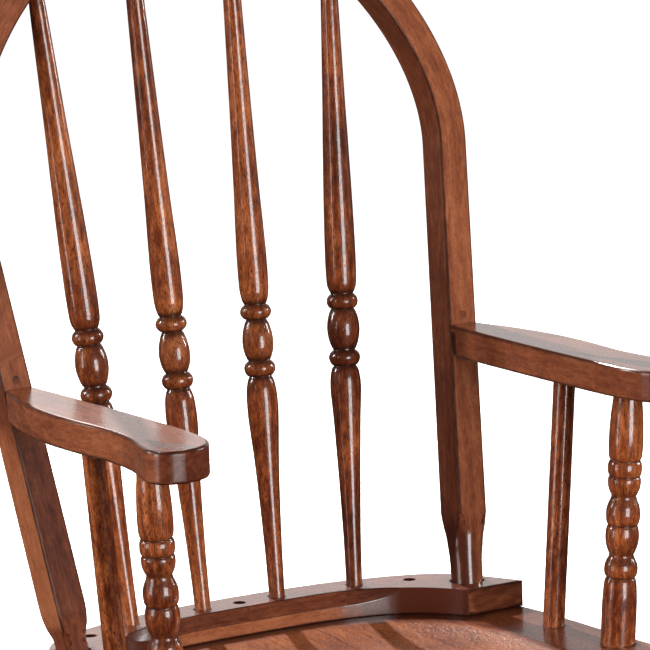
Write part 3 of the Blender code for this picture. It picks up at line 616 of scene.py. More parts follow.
SEAT_HALF = spline(
    ((0, -138), (70, -136), (130, -131), (168, -117), (186, -88), (190, -50), (189, -8), (187.5, 40), (187, 85), (184, 128), (172.5, 154.5), (159, 175.5), (141, 190.5), (113, 201.5), (80, 209.5), (40, 214), (0, 215.5)),
    9,
)


def dish_field(x, y):
    side = np.abs(x) / DISH_HALF_WIDTH
    back = np.maximum(0.0, y - DISH_REAR_CENTRE) / DISH_REAR_LENGTH
    return (side**3.2 + back**3.2) ** (1 / 3.2)


def seat_height(x, y):
    q = 1 - np.minimum(dish_field(x, y), 1.4) ** 4
    depth = DISH_DEPTH * 0.5 * (q + np.sqrt(q * q + 0.0022))
    front = np.clip((-y - 20) / 100, 0, 1)
    pommel = 0.6 * np.exp(-((x / 40) ** 2)) * front * front * (3 - 2 * front)
    a = np.clip((-y - 80) / 58, 0, 1)
    b = np.clip((175 - np.abs(x)) / 55, 0, 1)
    fall = 4.0 * a * a * (3 - 2 * a) * b * b * (3 - 2 * b)
    return -depth * (1 - pommel) - fall


def make_seat():
    right = [Vector((p[0], p[1])) for p in SEAT_HALF]
    outline = right + [Vector((-p[0], p[1])) for p in reversed(right[1:-1])]
    n = len(outline)
    normals = []
    for i in range(n):
        t = outline[(i + 1) % n] - outline[i - 1]
        normals.append(Vector((t.y, -t.x)).normalized())
    centre = Vector((0.0, 36.0))

    def ring(inset, z, follow):
        out = []
        for p, m in zip(outline, normals):
            q = p - m * inset
            base = float(seat_height(np.array(q.x), np.array(q.y))) if follow else 0.0
            out.append((q.x, q.y, base + z))
        return out

    rings = [ring(13, -SEAT_THICK, False), ring(9, -SEAT_THICK + 1.1, False), ring(5, -SEAT_THICK + 3, False), ring(2.2, -SEAT_THICK + 6, False), ring(0.6, -SEAT_THICK + 8.8, False), ring(0, -SEAT_THICK + 11, False), ring(0, -8.0, True)]
    for step in range(0, 8):
        a = 0.5 * math.pi * step / 7
        rings.append(ring(3.2 * (1 - math.cos(a)), -3.2 + 3.2 * math.sin(a), True))
    for step in range(1, 106):
        s = 1 - (step / 106) ** 0.93
        out = []
        for p, m in zip(outline, normals):
            q = centre + (p - m * 3.2 - centre) * s
            out.append((q.x, q.y, float(seat_height(np.array(q.x), np.array(q.y)))))
        rings.append(out)
    bm = bmesh.new()
    loft(bm, rings)
    holes = []
    for s in (-1, 1):
        for (fx, fy), (lx, ly), r in ((POST_FOOT, POST_LEAN, POST_RADIUS), (STAY_FOOT, STAY_LEAN, STAY_RADIUS)):
            length = math.sqrt(lx * lx + ly * ly + 1)
            holes.append(drill_body((s * (fx - 15 * lx), fy - 15 * ly, -15 + 0.6), (s * lx, ly, 1), ((0, r + 0.12), (14.0 * length, r + 0.12), (14.9 * length, r + 1.0), (22, r + 1.0)), 56))
        for line in (LEGS["front"], LEGS["rear"]):
            a, b = line
            axis = (b - a).normalized()
            start = a + axis * ((b - a).length - 9)
            inverse = SEAT.inverted()
            local = inverse @ mirrored(start, s)
            turn = inverse.to_3x3() @ mirrored(axis, s)
            holes.append(drill_body(local, turn, ((0, 9.8), (26, 9.8)), 48))
    for x, y in RAIL_SCREWS:
        holes.append(drill_body((x, y, -17), (0, 0, 1), ((0, 2.0), (20, 2.0)), 16))

    def scooped(co, local, normals):
        rho = dish_field(co[:, 0], co[:, 1])
        return np.clip((1.02 - rho) / 0.06, 0, 1) * (co[:, 2] > -20)

    def painted_light_and_shade(co, local, normals):
        # painted shade: the flat margin outside the dish drawn darker towards the rear, where the rail and bow shade it
        rho = dish_field(co[:, 0], co[:, 1])
        margin = np.clip((rho - 0.99) / 0.05, 0, 1)
        return 0.25 - 1.2 * margin * np.clip((co[:, 1] - 10) / 60, 0, 1)

    front = [(p[0] * k, p[1]) for k in (-1, 1) for p in RAIL_FRONT]
    front.sort()

    def painted_rail_shadow(co, local, normals):
        # painted shadow: a dark band on the seat margin just in front of the rail
        best = np.full(len(co), 99.0)
        for (ax, ay), (bx, by) in zip(front, front[1:]):
            dx, dy = bx - ax, by - ay
            f = np.clip(((co[:, 0] - ax) * dx + (co[:, 1] - ay) * dy) / max(dx * dx + dy * dy, 1e-6), 0, 1)
            best = np.minimum(best, np.hypot(co[:, 0] - ax - f * dx, co[:, 1] - ay - f * dy))
        rho = dish_field(co[:, 0], co[:, 1])
        return 0.90 * np.clip((14.0 - best) / 3.0, 0, 1) * np.clip((rho - 0.975) / 0.02, 0, 1) * (co[:, 2] > -3)

    return piece("seat", bm, SEAT, "seat_wood", axis_grain((0, 2, 1)), holes, 40, extra={"dish": scooped, "tone_and_painted_light": painted_light_and_shade, "glaze_and_shade": painted_rail_shadow})


# ---- legs, stretchers and rockers ------------------------------------------------------------


def rowed(section, per_corner, inset=0.9, between=0):
    """The same section with two more points on each straight side, just inside its rounded corners."""
    out = []
    n = len(section)
    for i, p in enumerate(section):
        out.append(p)
        if i % per_corner == per_corner - 1:
            q = Vector(section[(i + 1) % n])
            step = min(inset, 0.3 * (q - p).length)
            along_side = (q - p).normalized() * step
            low, high = p + along_side, q - along_side
            out += [low] + [low.lerp(high, k / (between + 1)) for k in range(1, between + 1)] + [high]
    return out


def rocker_tall(y):
    return ROCKER_TALL - 9.0 * (abs(y) / ROCKER_HALF_LENGTH) ** 2


def rocker_top(y):
    angle = math.asin((y - ROCKER_LOW_Y) / (ROCKER_RADIUS - rocker_tall(y)))
    return ROCKER_RADIUS - (ROCKER_RADIUS - rocker_tall(y)) * math.cos(angle)


def leg_line(top, foot_y):
    return Vector((ROCKER_X, foot_y, rocker_top(foot_y))), SEAT @ Vector((top[0], top[1], -SEAT_THICK))


LEGS = {"front": leg_line(FRONT_LEG_TOP, FRONT_LEG_FOOT_Y), "rear": leg_line(REAR_LEG_TOP, REAR_LEG_FOOT_Y)}


def at_fraction(line, f, s=1):
    return mirrored(line[0] + (line[1] - line[0]) * f, s)


def make_rung(node, a, b, profile):
    d = (b - a).normalized()
    start, end = a + d * 10.0, b - d * 10.0
    turned(node, profile((end - start).length), along(start, d), CHAIR)


def rung_hole(a, b):
    d = (b - a).normalized()
    return drill_body(a + d * 0.7, d, ((0, 4.75), (18, 4.75)), 32)


def make_undercarriage():
    front, rear = LEGS["front"], LEGS["rear"]
    for s, side in ((-1, "left"), (1, "right")):
        make_rung("stretcher_" + side, at_fraction(front, SIDE_RUNG, s), at_fraction(rear, SIDE_RUNG, s), plain_stretcher_profile)
    for f, where in zip(FRONT_RUNGS, ("lower", "upper")):
        make_rung("stretcher_front_" + where, at_fraction(front, f, -1), at_fraction(front, f, 1), front_stretcher_profile)
    make_rung("stretcher_rear", at_fraction(rear, REAR_RUNG, -1), at_fraction(rear, REAR_RUNG, 1), plain_stretcher_profile)
    for s, side in ((-1, "left"), (1, "right")):
        for key, other, rungs in (("front", rear, FRONT_RUNGS), ("rear", front, (REAR_RUNG,))):
            line = LEGS[key]
            foot, top = mirrored(line[0], s), mirrored(line[1], s)
            axis = (top - foot).normalized()
            holes = [rung_hole(at_fraction(line, SIDE_RUNG, s), at_fraction(other, SIDE_RUNG, s))]
            for f in rungs:
                holes.append(rung_hole(at_fraction(line, f, s), at_fraction(line, f, -s)))
            holes.append(drill_body(foot - axis * 18, axis, ((0, 2.1), (25, 2.1)), 16))
            turned("leg_" + key + "_" + side, leg_profile((top - foot).length), along(foot, axis), CHAIR, cutters=holes)
            make_screw("rocker_screw_" + key + "_" + side, foot - axis * 27.5, axis, 33.0, CHAIR)


def make_rockers():
    front = math.asin((-ROCKER_HALF_LENGTH - ROCKER_LOW_Y) / ROCKER_RADIUS)
    rear = math.asin((ROCKER_HALF_LENGTH - ROCKER_LOW_Y) / ROCKER_RADIUS)
    rest = 0.0125
    m = 46
    angles = [front + (-rest - front) * i / m for i in range(m + 1)] + [rest + (rear - rest) * i / m for i in range(m + 1)]
    for s, side in ((-1, "left"), (1, "right")):
        rings = []

        def station(a, inset, slide):
            low = Vector((0, ROCKER_LOW_Y + ROCKER_RADIUS * math.sin(a), ROCKER_RADIUS * (math.cos(rest) - math.cos(a))))
            up, tangent = Vector((0, -math.sin(a), math.cos(a))), Vector((0, math.cos(a), math.sin(a)))
            lo, hi = inset, rocker_tall(low.y) - inset
            w, e = ROCKER_THICK / 2 - min(inset, 1.2) * 0.5, 2.0
            section = []
            for cx, cz, start in ((w - e, lo + e, -90), (w - e, hi - e, 0), (-w + e, hi - e, 90), (-w + e, lo + e, 180)):
                for q in range(5):
                    t = math.radians(start + 90 * q / 4)
                    section.append(Vector((cx + e * math.cos(t), cz + e * math.sin(t))))
            section = rowed(section, 5, 1.1)
            return [Vector((s * ROCKER_X + x, 0, 0)) + low + tangent * slide + up * h for x, h in section]

        nose = 9.0
        for q in range(1, 8):
            t = 0.5 * math.pi * q / 8
            rings.append(station(front, nose * (1 - math.sin(t)), -nose * math.cos(t) + nose))
        start_angle = front + nose / ROCKER_RADIUS
        end_angle = rear - nose / ROCKER_RADIUS
        for a in angles:
            if start_angle <= a <= end_angle:
                rings.append(station(a, 0.0, 0.0))
        for q in range(7, 0, -1):
            t = 0.5 * math.pi * q / 8
            rings.append(station(rear, nose * (1 - math.sin(t)), nose * math.cos(t) - nose))
        bm = bmesh.new()
        loft(bm, rings)
        holes = []
        for key in ("front", "rear"):
            foot, top = mirrored(LEGS[key][0], s), mirrored(LEGS[key][1], s)
            axis = (top - foot).normalized()
            holes.append(drill_body(foot - axis * 45, axis, ((0, 4.2), (21.4, 4.2), (21.41, 2.1), (45 - 17.3, 2.1), (45 - 17.29, 6.7), (52, 6.7)), 32))
        piece("rocker_" + side, bm, CHAIR, "bow_wood", axis_grain((0, 2, 1)), holes, 38)


def make_screw(node, start, direction, length, frame_of, head=3.8):
    """Flat-headed screw with a cross recess. start is the head's outer face, direction points into the wood."""
    profile = [(0.0, 0.0001), (0.0, head - 0.35), (0.12, head - 0.1), (0.4, head), (1.2, head), (2.2, 2.9), (3.4, 2.0), (6.0, 1.9)]
    turns = int((length - 9) / 1.4)
    for i in range(turns):
        h = 6.4 + 1.4 * i
        profile += [(h, 1.35), (h + 0.55, 1.35), (h + 0.7, 1.9), (h + 0.85, 1.35)]
    profile += [(length - 1.6, 1.2), (length - 0.2, 0.5), (length, 0.1)]
    profile = [(h, max(r, 0.05)) for h, r in profile]
    place = along(start, direction)
    slots = []
    for turn in (0.4, 0.4 + math.pi / 2):
        bm = bmesh.new()
        c, s = math.cos(turn), math.sin(turn)
        for h, w, l in ((-1.0, 0.42, 2.1), (1.6, 0.22, 0.5)):
            for x, y in ((-l, -w), (l, -w), (l, w), (-l, w)):
                bm.verts.new(place @ Vector((x * c - y * s, x * s + y * c, h)))
        bm.verts.ensure_lookup_table()
        v = bm.verts
        for quad in ((3, 2, 1, 0), (4, 5, 6, 7), (0, 1, 5, 4), (1, 2, 6, 5), (2, 3, 7, 6), (3, 0, 4, 7)):
            bm.faces.new([v[i] for i in quad])
        slots.append(bm)
    turned(node, profile, place, frame_of, "screw_steel", 24, slots, 30)


# ---- crescent rail ---------------------------------------------------------------------------

RAIL_REAR = spline(((182.5, 128), (170.5, 153.5), (157.5, 174), (139.5, 189), (112, 200), (79.5, 208), (40, 212.5), (0, 214)), 10)
RAIL_FRONT = spline(((137.4, 128), (126.5, 144.5), (112, 159), (94, 170), (74, 176.5), (50, 180), (25, 181), (0, 181.2)), 10)


def filleted(points, radii, steps=4):
    """A closed section whose corners are rounded: points in order, with a radius for each."""
    out = []
    n = len(points)
    for i, (p, r) in enumerate(zip(points, radii)):
        a, b = points[i - 1], points[(i + 1) % n]
        p, a, b = Vector(p), Vector(a), Vector(b)
        u, v = (a - p), (b - p)
        reach = min(r, 0.45 * u.length, 0.45 * v.length)
        start, end = p + u.normalized() * reach, p + v.normalized() * reach
        for s in range(steps + 1):
            t = s / steps
            out.append(start * (1 - t) ** 2 + p * 2 * t * (1 - t) + end * t * t)
    return out


def make_rail():
    n = len(RAIL_REAR)
    rings = []
    order = list(range(n)) + list(range(n - 2, -1, -1))
    for index, i in enumerate(order):
        s = 1 if index < n else -1
        rear, front = RAIL_REAR[i], RAIL_FRONT[i]
        c = math.sqrt(max(0.0, 1 - (max(0.0, front.x - 70) / 36) ** 2))
        across = Vector((rear.x - front.x, rear.y - front.y)).normalized()
        width = Vector((rear.x - front.x, rear.y - front.y)).length
        top = RAIL_BEVEL_DEPTH * c * 0.5
        low = RAIL_TOP - 0.35 - (RAIL_BEVEL_HEIGHT - 0.35) * c
        # the section in (distance from the front line, height)
        section = rowed(filleted(
            [(width, 0.12), (width, RAIL_TOP), (top, RAIL_TOP), (-top, low), (-top, 0.12)],
            [0.5, 1.1, 0.45, 0.5, 0.5],
        ), 5, 0.9, 7)

        def station(inset, slide):
            out = []
            for d, z in section:
                dd = min(max(d, -top + inset), width - inset)
                zz = min(max(z, 0.12 + inset), RAIL_TOP - inset)
                # the chamfer runs straight back, so its offset is along Y
                lean = 0.0
                x = front.x + across.x * dd
                y = front.y + across.y * dd
                if d < top + 0.71:
                    x = front.x + across.x * max(dd, 0.0) * (1 - c)
                    y = front.y + across.y * max(dd, 0.0) * (1 - c) + dd * c
                out.append((s * x, y + slide + lean, zz))
            return out

        if index == 0:
            rings += [station(1.9, 0.0), station(0.7, 0.0), station(0.32, 0.12), station(0.1, 0.34), station(0.0, 0.75)]
        elif index == len(order) - 1:
            rings += [station(0.0, 0.75), station(0.1, 0.34), station(0.32, 0.12), station(0.7, 0.0), station(1.9, 0.0)]
        else:
            rings.append(station(0.0, 0.0))
    bm = bmesh.new()
    loft(bm, rings)
    holes = []
    for s in (-1, 1):
        for (fx, fy), (lx, ly) in (SPINDLE_OUTER, SPINDLE_INNER):
            holes.append(drill_body((s * (fx - 14 * lx), fy - 14 * ly, RAIL_TOP - 14), (s * lx, ly, 1), ((0, 4.78), (11.0, 4.78), (11.01, 5.62), (13.5, 5.62), (14.5, 6.75), (22, 6.75)), 48))
        foot, up = bow_point(0, BOW_DEPTH / 2), bow_up()
        axis = Vector((s * BOW_FLARE, 0, 0)) + up
        start = Vector((s * BOW_FOOT_X, foot.y, foot.z)) - axis * 12.9
        holes.append(drill_body(start, axis, ((0, BOW_FOOT_RADIUS + 0.15), (12.4, BOW_FOOT_RADIUS + 0.15), (13.3, BOW_FOOT_RADIUS + 1.0), (24, BOW_FOOT_RADIUS + 1.0)), 64))
    names = {-1: "left", 0: "middle", 1: "right"}
    for x, y in RAIL_SCREWS:
        holes.append(drill_body((x, y, -3), (0, 0, 1), ((0, 2.1), (10.7, 2.1), (10.71, 4.1), (20.85, 4.1), (21.35, 4.6), (26, 4.6)), 48))
        make_screw("rail_screw_" + names[(x > 0) - (x < 0)], (x, y, 11.4), (0, 0, -1), 26, SEAT)

    def painted_bore_shade(co, local, normals):
        # painted shade: the walls inside the screw counterbores drawn dark
        deep = np.zeros(len(co))
        for x, y in RAIL_SCREWS:
            near = np.hypot(co[:, 0] - x, co[:, 1] - y) < 4.25
            deep = np.maximum(deep, near * np.clip((RAIL_TOP - 0.1 - co[:, 2]) / 0.1, 0, 1))
        return deep

    def painted_light_and_shade(co, local, normals):
        # painted light and shade: the lower front face drawn lighter near the middle where the key light falls on it,
        # and the front faces drawn darker towards the ends where they turn from the light; the sawn ends keep their own
        # tone
        sawn = (co[:, 1] < 128.5) & (np.abs(co[:, 0]) > 130)
        front = np.clip((np.abs(co[:, 0]) - 60) / 40, 0, 1) * np.clip((0.95 - np.abs(normals[:, 2])) / 0.6, 0, 1)
        lower = (co[:, 2] < RAIL_TOP - RAIL_BEVEL_HEIGHT + 0.3) & (normals[:, 1] < -0.2)
        face = 1.5 * np.clip((88 - np.abs(co[:, 0])) / 30, 0, 1)
        return np.where(sawn, -0.05, -0.55 - 1.35 * front + lower * face)

    def less_polished(co, local, normals):
        """The hollow curve by the ends is hard to reach with a cloth."""
        upright = np.clip((0.6 - np.abs(normals[:, 2])) / 0.3, 0, 1)
        ends = 0.75 * upright * np.clip((np.abs(co[:, 0]) - 101) / 9, 0, 1) * (normals[:, 1] < -0.2)
        left = 1.25 * np.clip((-50 - co[:, 0]) / 16, 0, 1) * np.clip((0.97 - normals[:, 2]) / 0.1, 0, 1) * (normals[:, 1] < 0.3) * (co[:, 1] > 129.5)
        return np.maximum(ends, left)

    piece("back_rail", bm, SEAT, "bow_wood", axis_grain((1, 2, 0)), holes, 28, extra={"glaze_and_shade": painted_bore_shade, "tone_and_painted_light": painted_light_and_shade, "matt": less_polished})


# ---- bow -------------------------------------------------------------------------------------


def bow_up():
    return Vector((0, math.sin(BOW_LEAN), math.cos(BOW_LEAN)))


def bow_back():
    return Vector((0, math.cos(BOW_LEAN), -math.sin(BOW_LEAN)))


def bow_point(t, depth):
    return Vector((0, BOW_Y, RAIL_TOP)) + bow_up() * t + bow_back() * depth


def bow_line():
    """(x, t) along the bow's middle line, from the right foot to the crown."""
    heights = [-12.5, -12.0, -6, -1] + [2.0 * i for i in range(0, 36)] + [70 + 9.5 * i for i in range(1, 24)]
    out = [(BOW_FOOT_X + BOW_FLARE * t, float(t)) for t in heights if t < BOW_SPRING - 4]
    p0 = Vector((BOW_FOOT_X + BOW_FLARE * BOW_SPRING, BOW_SPRING))
    p1 = p0 + Vector((BOW_FLARE, 1)).normalized() * BOW_PULL_LEG
    p3 = Vector((0, BOW_CROWN))
    p2 = p3 + Vector((BOW_PULL_CROWN, 0))
    n = 72
    for i in range(n + 1):
        u = i / n
        p = p0 * (1 - u) ** 3 + p1 * 3 * u * (1 - u) ** 2 + p2 * 3 * u * u * (1 - u) + p3 * u**3
        out.append((p.x, p.y))
    return out


BOW_LINE = bow_line()


def bow_ring():
    """Points round the bow's section: a rectangle with eased edges."""
    w, d, e = BOW_WIDTH / 2, BOW_DEPTH / 2, 1.15
    out = []
    for cx, cy, start in ((w - e, d - e, 0), (-w + e, d - e, 90), (-w + e, -d + e, 180), (w - e, -d + e, 270)):
        for q in range(6):
            t = math.radians(start + 90 * q / 5)
            out.append((cx + e * math.cos(t), cy + e * math.sin(t)))
        nx, ny = {0: (-1, 0), 90: (0, -1), 180: (1, 0), 270: (0, 1)}[start]
        far = 2 * (w - e) if nx else 2 * (d - e)
        x0, y0 = out[-1]
        for f in (0.05, 0.12, 0.24, 0.37, 0.5, 0.63, 0.76, 0.88, 0.95):
            out.append((x0 + nx * far * f, y0 + ny * far * f))
    return out


def bow_foot_cutter(s):
    """A tube round the bow's foot: what it leaves is the round tenon, and the hollow cone that runs out on the square leg."""
    inner = flowing([(-24, 10.8), (6, 10.8), (14, 10.85), (18, 11.0), (22, 11.35), (26.5, 11.95), (31, 12.35), (34, 12.85), (37, 13.6), (42, 14.7), (48, 15.85), (52, 16.7), (56, 17.6), (62, 19.0)], 1.2)
    if s < 0:
        inner = flowing([(-24, 10.8), (8, 10.8), (12, 11.3), (16, 12.8), (20, 15.0), (25, 17.2), (62, 19.0)], 1.2)
    loop = inner + [(62.0, 40.0), (-24.0, 40.0)]
    foot = bow_point(0, BOW_DEPTH / 2)
    place = along((s * BOW_FOOT_X, foot.y, foot.z), Vector((s * BOW_FLARE, 0, 0)) + bow_up())
    bm = bmesh.new()
    sides = 88
    rows = [[bm.verts.new(place @ Vector((r * math.cos(2 * math.pi * (j + 0.37) / sides), r * math.sin(2 * math.pi * (j + 0.37) / sides), h))) for j in range(sides)] for h, r in loop]
    for i, low in enumerate(rows):
        high = rows[(i + 1) % len(rows)]
        for j in range(sides):
            k = (j + 1) % sides
            bm.faces.new((low[j], low[k], high[k], high[j]))
    return bm


def make_bow():
    path = BOW_LINE + [(-x, t) for x, t in reversed(BOW_LINE[:-1])]
    section = bow_ring()
    rings = []
    for i, (x, t) in enumerate(path):
        a, b = path[max(0, i - 1)], path[min(len(path) - 1, i + 1)]
        tangent = Vector((b[0] - a[0], b[1] - a[1])).normalized()
        across = Vector((tangent.y, -tangent.x))
        k = 1 + 0.055 * min(1.0, max(0.0, 1 - t / 300))
        if x < 0:
            k *= 1 - 0.29 * smoothstep(31, 3, t)
        ring = []
        for u, v in section:
            u, v = u * k, v * k
            p = bow_point(t + across.y * u, BOW_DEPTH / 2 + v)
            ring.append((x + across.x * u, p.y, p.z))
        rings.append(ring)
    bm = bmesh.new()
    loft(bm, rings)
    holes = []
    for s in (-1, 1):
        side = "right" if s > 0 else "left"
        for data in (SPINDLE_OUTER, SPINDLE_INNER):
            foot, axis, length = spindle_line(data)
            holes.append(drill_body(mirrored(foot + axis * (length - 6), s), mirrored(axis, s), ((0, 4.85), (17.6, 4.85)), 40))
        centre = arm_screw_point()
        holes.append(drill_body((s * centre.x, centre.y + 40, centre.z), (0, -1, 0), ((0, 4.2), (40 - ARM_SCREW_HEAD + 4.2, 4.2), (40 - ARM_SCREW_HEAD + 4.21, 2.1), (80, 2.1)), 32))
        p, d = bow_pin_point(), bow_back()
        holes.append(drill_body((s * p.x, p.y - d.y * 3.3, p.z - d.z * 3.3), d, ((0, 2.43), (10.5, 2.43)), 32))
        turned("bow_pin_" + side, [(-0.02, 2.38), (0.03, 2.40), (6.9, 2.40)], along((s * p.x, p.y, p.z), d), SEAT, "plug_wood", 32, tone_and_painted_light=-0.2)
        holes.append(bow_foot_cutter(s))
        make_screw("arm_screw_" + side, (s * centre.x, centre.y + ARM_SCREW_HEAD, centre.z), (0, -1, 0), 42, SEAT)

    line = np.array(path)
    steps = np.concatenate([[0], np.cumsum(np.hypot(*np.diff(line, axis=0).T))])
    up, back = np.array(bow_up()), np.array(bow_back())
    base = np.array((0, BOW_Y, RAIL_TOP))

    def bent_grain(co):
        t, depth = (co - base) @ up, (co - base) @ back
        best = np.full(len(co), 1e9)
        out = np.zeros((len(co), 3))
        for i in range(len(line) - 1):
            a, b = line[i], line[i + 1]
            d = b - a
            length = np.hypot(*d)
            f = ((co[:, 0] - a[0]) * d[0] + (t - a[1]) * d[1]) / (length * length)
            f = np.clip(f, 0, 1)
            dx, dt = co[:, 0] - a[0] - f * d[0], t - a[1] - f * d[1]
            gap = np.hypot(dx, dt)
            near = gap < best
            best[near] = gap[near]
            lateral = (dx * d[1] - dt * d[0]) / length
            out[near, 0] = lateral[near]
            out[near, 1] = depth[near]
            out[near, 2] = (steps[i] + f * length)[near]
        return out

    def painted_light_and_shade(co, local, normals):
        # painted light and shade: the side faces darker; below the arm the left leg's front darker, as in the arm's
        # shadow, and its outer side lighter; the right foot darker where it turns to the left, away from the light
        side = np.clip((np.abs(local[:, 0]) - 9.2) / 0.9, 0, 1)
        low = np.clip((165 - co[:, 2]) / 12, 0, 1)
        left = (co[:, 0] < 0) * low
        outer = side * (np.sign(co[:, 0]) * normals[:, 0] > 0)
        base = 0.32 - 0.72 * side + left * (-1.1 * (1 - side) + 1.3 * outer)
        foot = np.clip((RAIL_TOP + 46 - co[:, 2]) / 14, 0, 1) * np.clip(0.3 - 1.3 * normals[:, 0] - 0.3 * side, 0, 1) * (co[:, 0] > 0)
        return base - 1.7 * foot

    piece("bow", bm, SEAT, "bow_wood", bent_grain, holes, 14, extra={"tone_and_painted_light": painted_light_and_shade, "dull": lambda co, local, normals: np.ones(len(co))}, ends=False)


def arm_screw_point():
    z = (ARM_UNDER + ARM_TOP) / 2
    t = (z - RAIL_TOP) / math.cos(BOW_LEAN)
    return Vector((BOW_FOOT_X + BOW_FLARE * t, BOW_Y + (z - RAIL_TOP) * math.tan(BOW_LEAN), z))


def bow_pin_point():
    z = ARM_TOP + 6.0
    t = (z - RAIL_TOP) / math.cos(BOW_LEAN)
    return Vector((BOW_FOOT_X + BOW_FLARE * t, BOW_Y + (z - RAIL_TOP) * math.tan(BOW_LEAN), z))


def spindle_line(data):
    (fx, fy), (lx, ly) = data
    foot, axis = Vector((fx, fy, RAIL_TOP)), Vector((lx, ly, 1)).normalized()
    line = np.array(BOW_LINE)
    a, b = line[:-1], line[1:]
    d = b - a
    for length in range(300, 520):
        p = foot + axis * length
        t = (p - bow_point(0, 0)).dot(bow_up())
        q = np.array((p.x, t))
        f = np.clip(((q - a) * d).sum(1) / (d * d).sum(1), 0, 1)
        if np.hypot(*(q - a - d * f[:, None]).T).min() < BOW_WIDTH / 2:
            return foot, axis, float(length)
    return foot, axis, 520.0


def make_back_spindles():
    names = {(-1, 0): "1", (-1, 1): "2", (1, 1): "3", (1, 0): "4"}
    for s in (-1, 1):
        for k, data in enumerate((SPINDLE_OUTER, SPINDLE_INNER)):
            foot, axis, length = spindle_line(data)
            turned("back_spindle_" + names[s, k], (outer_spindle_profile, inner_spindle_profile)[k](length), along(mirrored(foot, s), mirrored(axis, s)), SEAT, tone_and_painted_light={"1": 0.12, "2": 0.0, "3": -0.25, "4": -0.7}[names[s, k]], darker_zones=(146, 206))


# ---- arms ------------------------------------------------------------------------------------

ARM_OUTER = spline(((181.4, 176), (190.5, 142), (196.8, 104), (197.6, 66), (195.2, 24), (198.2, -10), (205.6, -36), (208.6, -50), (204, -61.5), (191.5, -66.5)), 8)
ARM_INNER = spline(((160.9, 176), (159.2, 142), (158.2, 104), (157.4, 66), (157.2, 24), (157.6, -10), (159.6, -32), (163.4, -47), (171.5, -58.5), (181, -64.5)), 8)


def arm_endgrain_and_painted_light(co, local, normals):
    # painted light and shade: sides a little lighter and tops a little darker by which way they face; the nose darker
    # for its end grain
    nose = np.clip((-30 - co[:, 1]) / 30, 0, 1) * np.clip(-normals[:, 1] * 1.6, 0, 1)
    flat = np.clip((np.abs(normals[:, 2]) - 0.4) / 0.3, 0, 1)
    return 0.22 * (1 - flat) - 1.0 * nose - 0.1 * flat


def make_arms():
    for s, side in ((-1, "left"), (1, "right")):
        outline = list(ARM_INNER) + list(reversed(ARM_OUTER))
        n = len(outline)
        normals = []
        for i in range(n):
            t = outline[(i + 1) % n] - outline[i - 1]
            normals.append(Vector((t.y, -t.x)).normalized())
        centre = sum(outline, Vector((0, 0))) / n
        if sum((p - centre).dot(m) for p, m in zip(outline, normals)) < 0:
            normals = [-m for m in normals]

        def ring(inset, z):
            out = []
            for i, (p, m) in enumerate(zip(outline, normals)):
                if i == 0 or i == n - 1:  # the rear corners stay on the bow's front face
                    x = p.x + (inset if i == 0 else -inset)
                    out.append((s * x, BOW_Y + (z - RAIL_TOP) * math.tan(BOW_LEAN) - 0.4, z))
                else:
                    q = p - m * inset
                    out.append((s * q.x, q.y, z))
            return out

        rings = [ring(5.0, ARM_UNDER), ring(2.2, ARM_UNDER)]
        for q in range(6):
            t = 0.5 * math.pi * q / 5
            rings.append(ring(1.3 * (1 - math.sin(t)), ARM_UNDER + 1.3 * (1 - math.cos(t))))
        r = 2.3
        rings += [ring(0, ARM_UNDER + 2.3), ring(0, 0.5 * (ARM_UNDER + ARM_TOP)), ring(0, ARM_TOP - r - 1.0)]
        for q in range(9):
            t = 0.5 * math.pi * q / 8
            rings.append(ring(r * (1 - math.cos(t)), ARM_TOP - r + r * math.sin(t)))
        rings += [ring(r + 0.9, ARM_TOP + 0.02), ring(r + 3.5, ARM_TOP + 0.02)]
        bm = bmesh.new()
        loft(bm, rings)
        holes = []
        for (fx, fy), (lx, ly), r in ((POST_FOOT, POST_LEAN, 8.72), (STAY_FOOT, STAY_LEAN, STAY_RADIUS + 0.02)):
            z = ARM_UNDER - 6
            holes.append(drill_body((s * (fx + lx * z), fy + ly * z, z), (s * lx, ly, 1), ((0, r + 0.12), (18.5, r + 0.12)), 48))
        centre = arm_screw_point()
        holes.append(drill_body((s * centre.x, centre.y + 4, centre.z), (0, -1, 0), ((0, 2.1), (26, 2.1)), 24))
        piece("arm_" + side, bm, SEAT, "bow_wood", axis_grain((0, 2, 1)), holes, 30, extra={"tone_and_painted_light": arm_endgrain_and_painted_light})
        post = Vector((s * POST_LEAN[0], POST_LEAN[1], 1))
        length = (ARM_UNDER + 11.8) * post.length
        turned("arm_post_" + side, arm_post_profile(length), along((s * POST_FOOT[0], POST_FOOT[1], 0), post), SEAT, glaze_and_shade=0.6, tone_and_painted_light=0.1 if s < 0 else -0.15)
        stay = Vector((s * STAY_LEAN[0], STAY_LEAN[1], 1))
        top = (ARM_UNDER + 11.8) * stay.length
        turned("arm_spindle_" + side, joined([(-13.7, 6.6), (-13.3, STAY_RADIUS)], flowing([(0, STAY_RADIUS), (top * 0.5, STAY_RADIUS + 0.1), (top - 0.4, STAY_RADIUS)], 8.0), [(top, 6.6)]), along((s * STAY_FOOT[0], STAY_FOOT[1], 0), stay), SEAT)


make_seat()
make_rail()
make_bow()
make_back_spindles()
make_arms()
make_undercarriage()
make_rockers()

# ---- floor, light and camera -----------------------------------------------------------------

VIEW_RIGHT = Vector((0.8444498, -0.5356348, 0.0))
VIEW_BACK = Vector((-0.5214767, -0.8221274, 0.2284043))
VIEW_UP = VIEW_BACK.cross(VIEW_RIGHT)
TOWARDS = Vector((VIEW_BACK.x, VIEW_BACK.y, 0)).normalized()
TARGET = Vector((0.0, 0.02, 0.48))


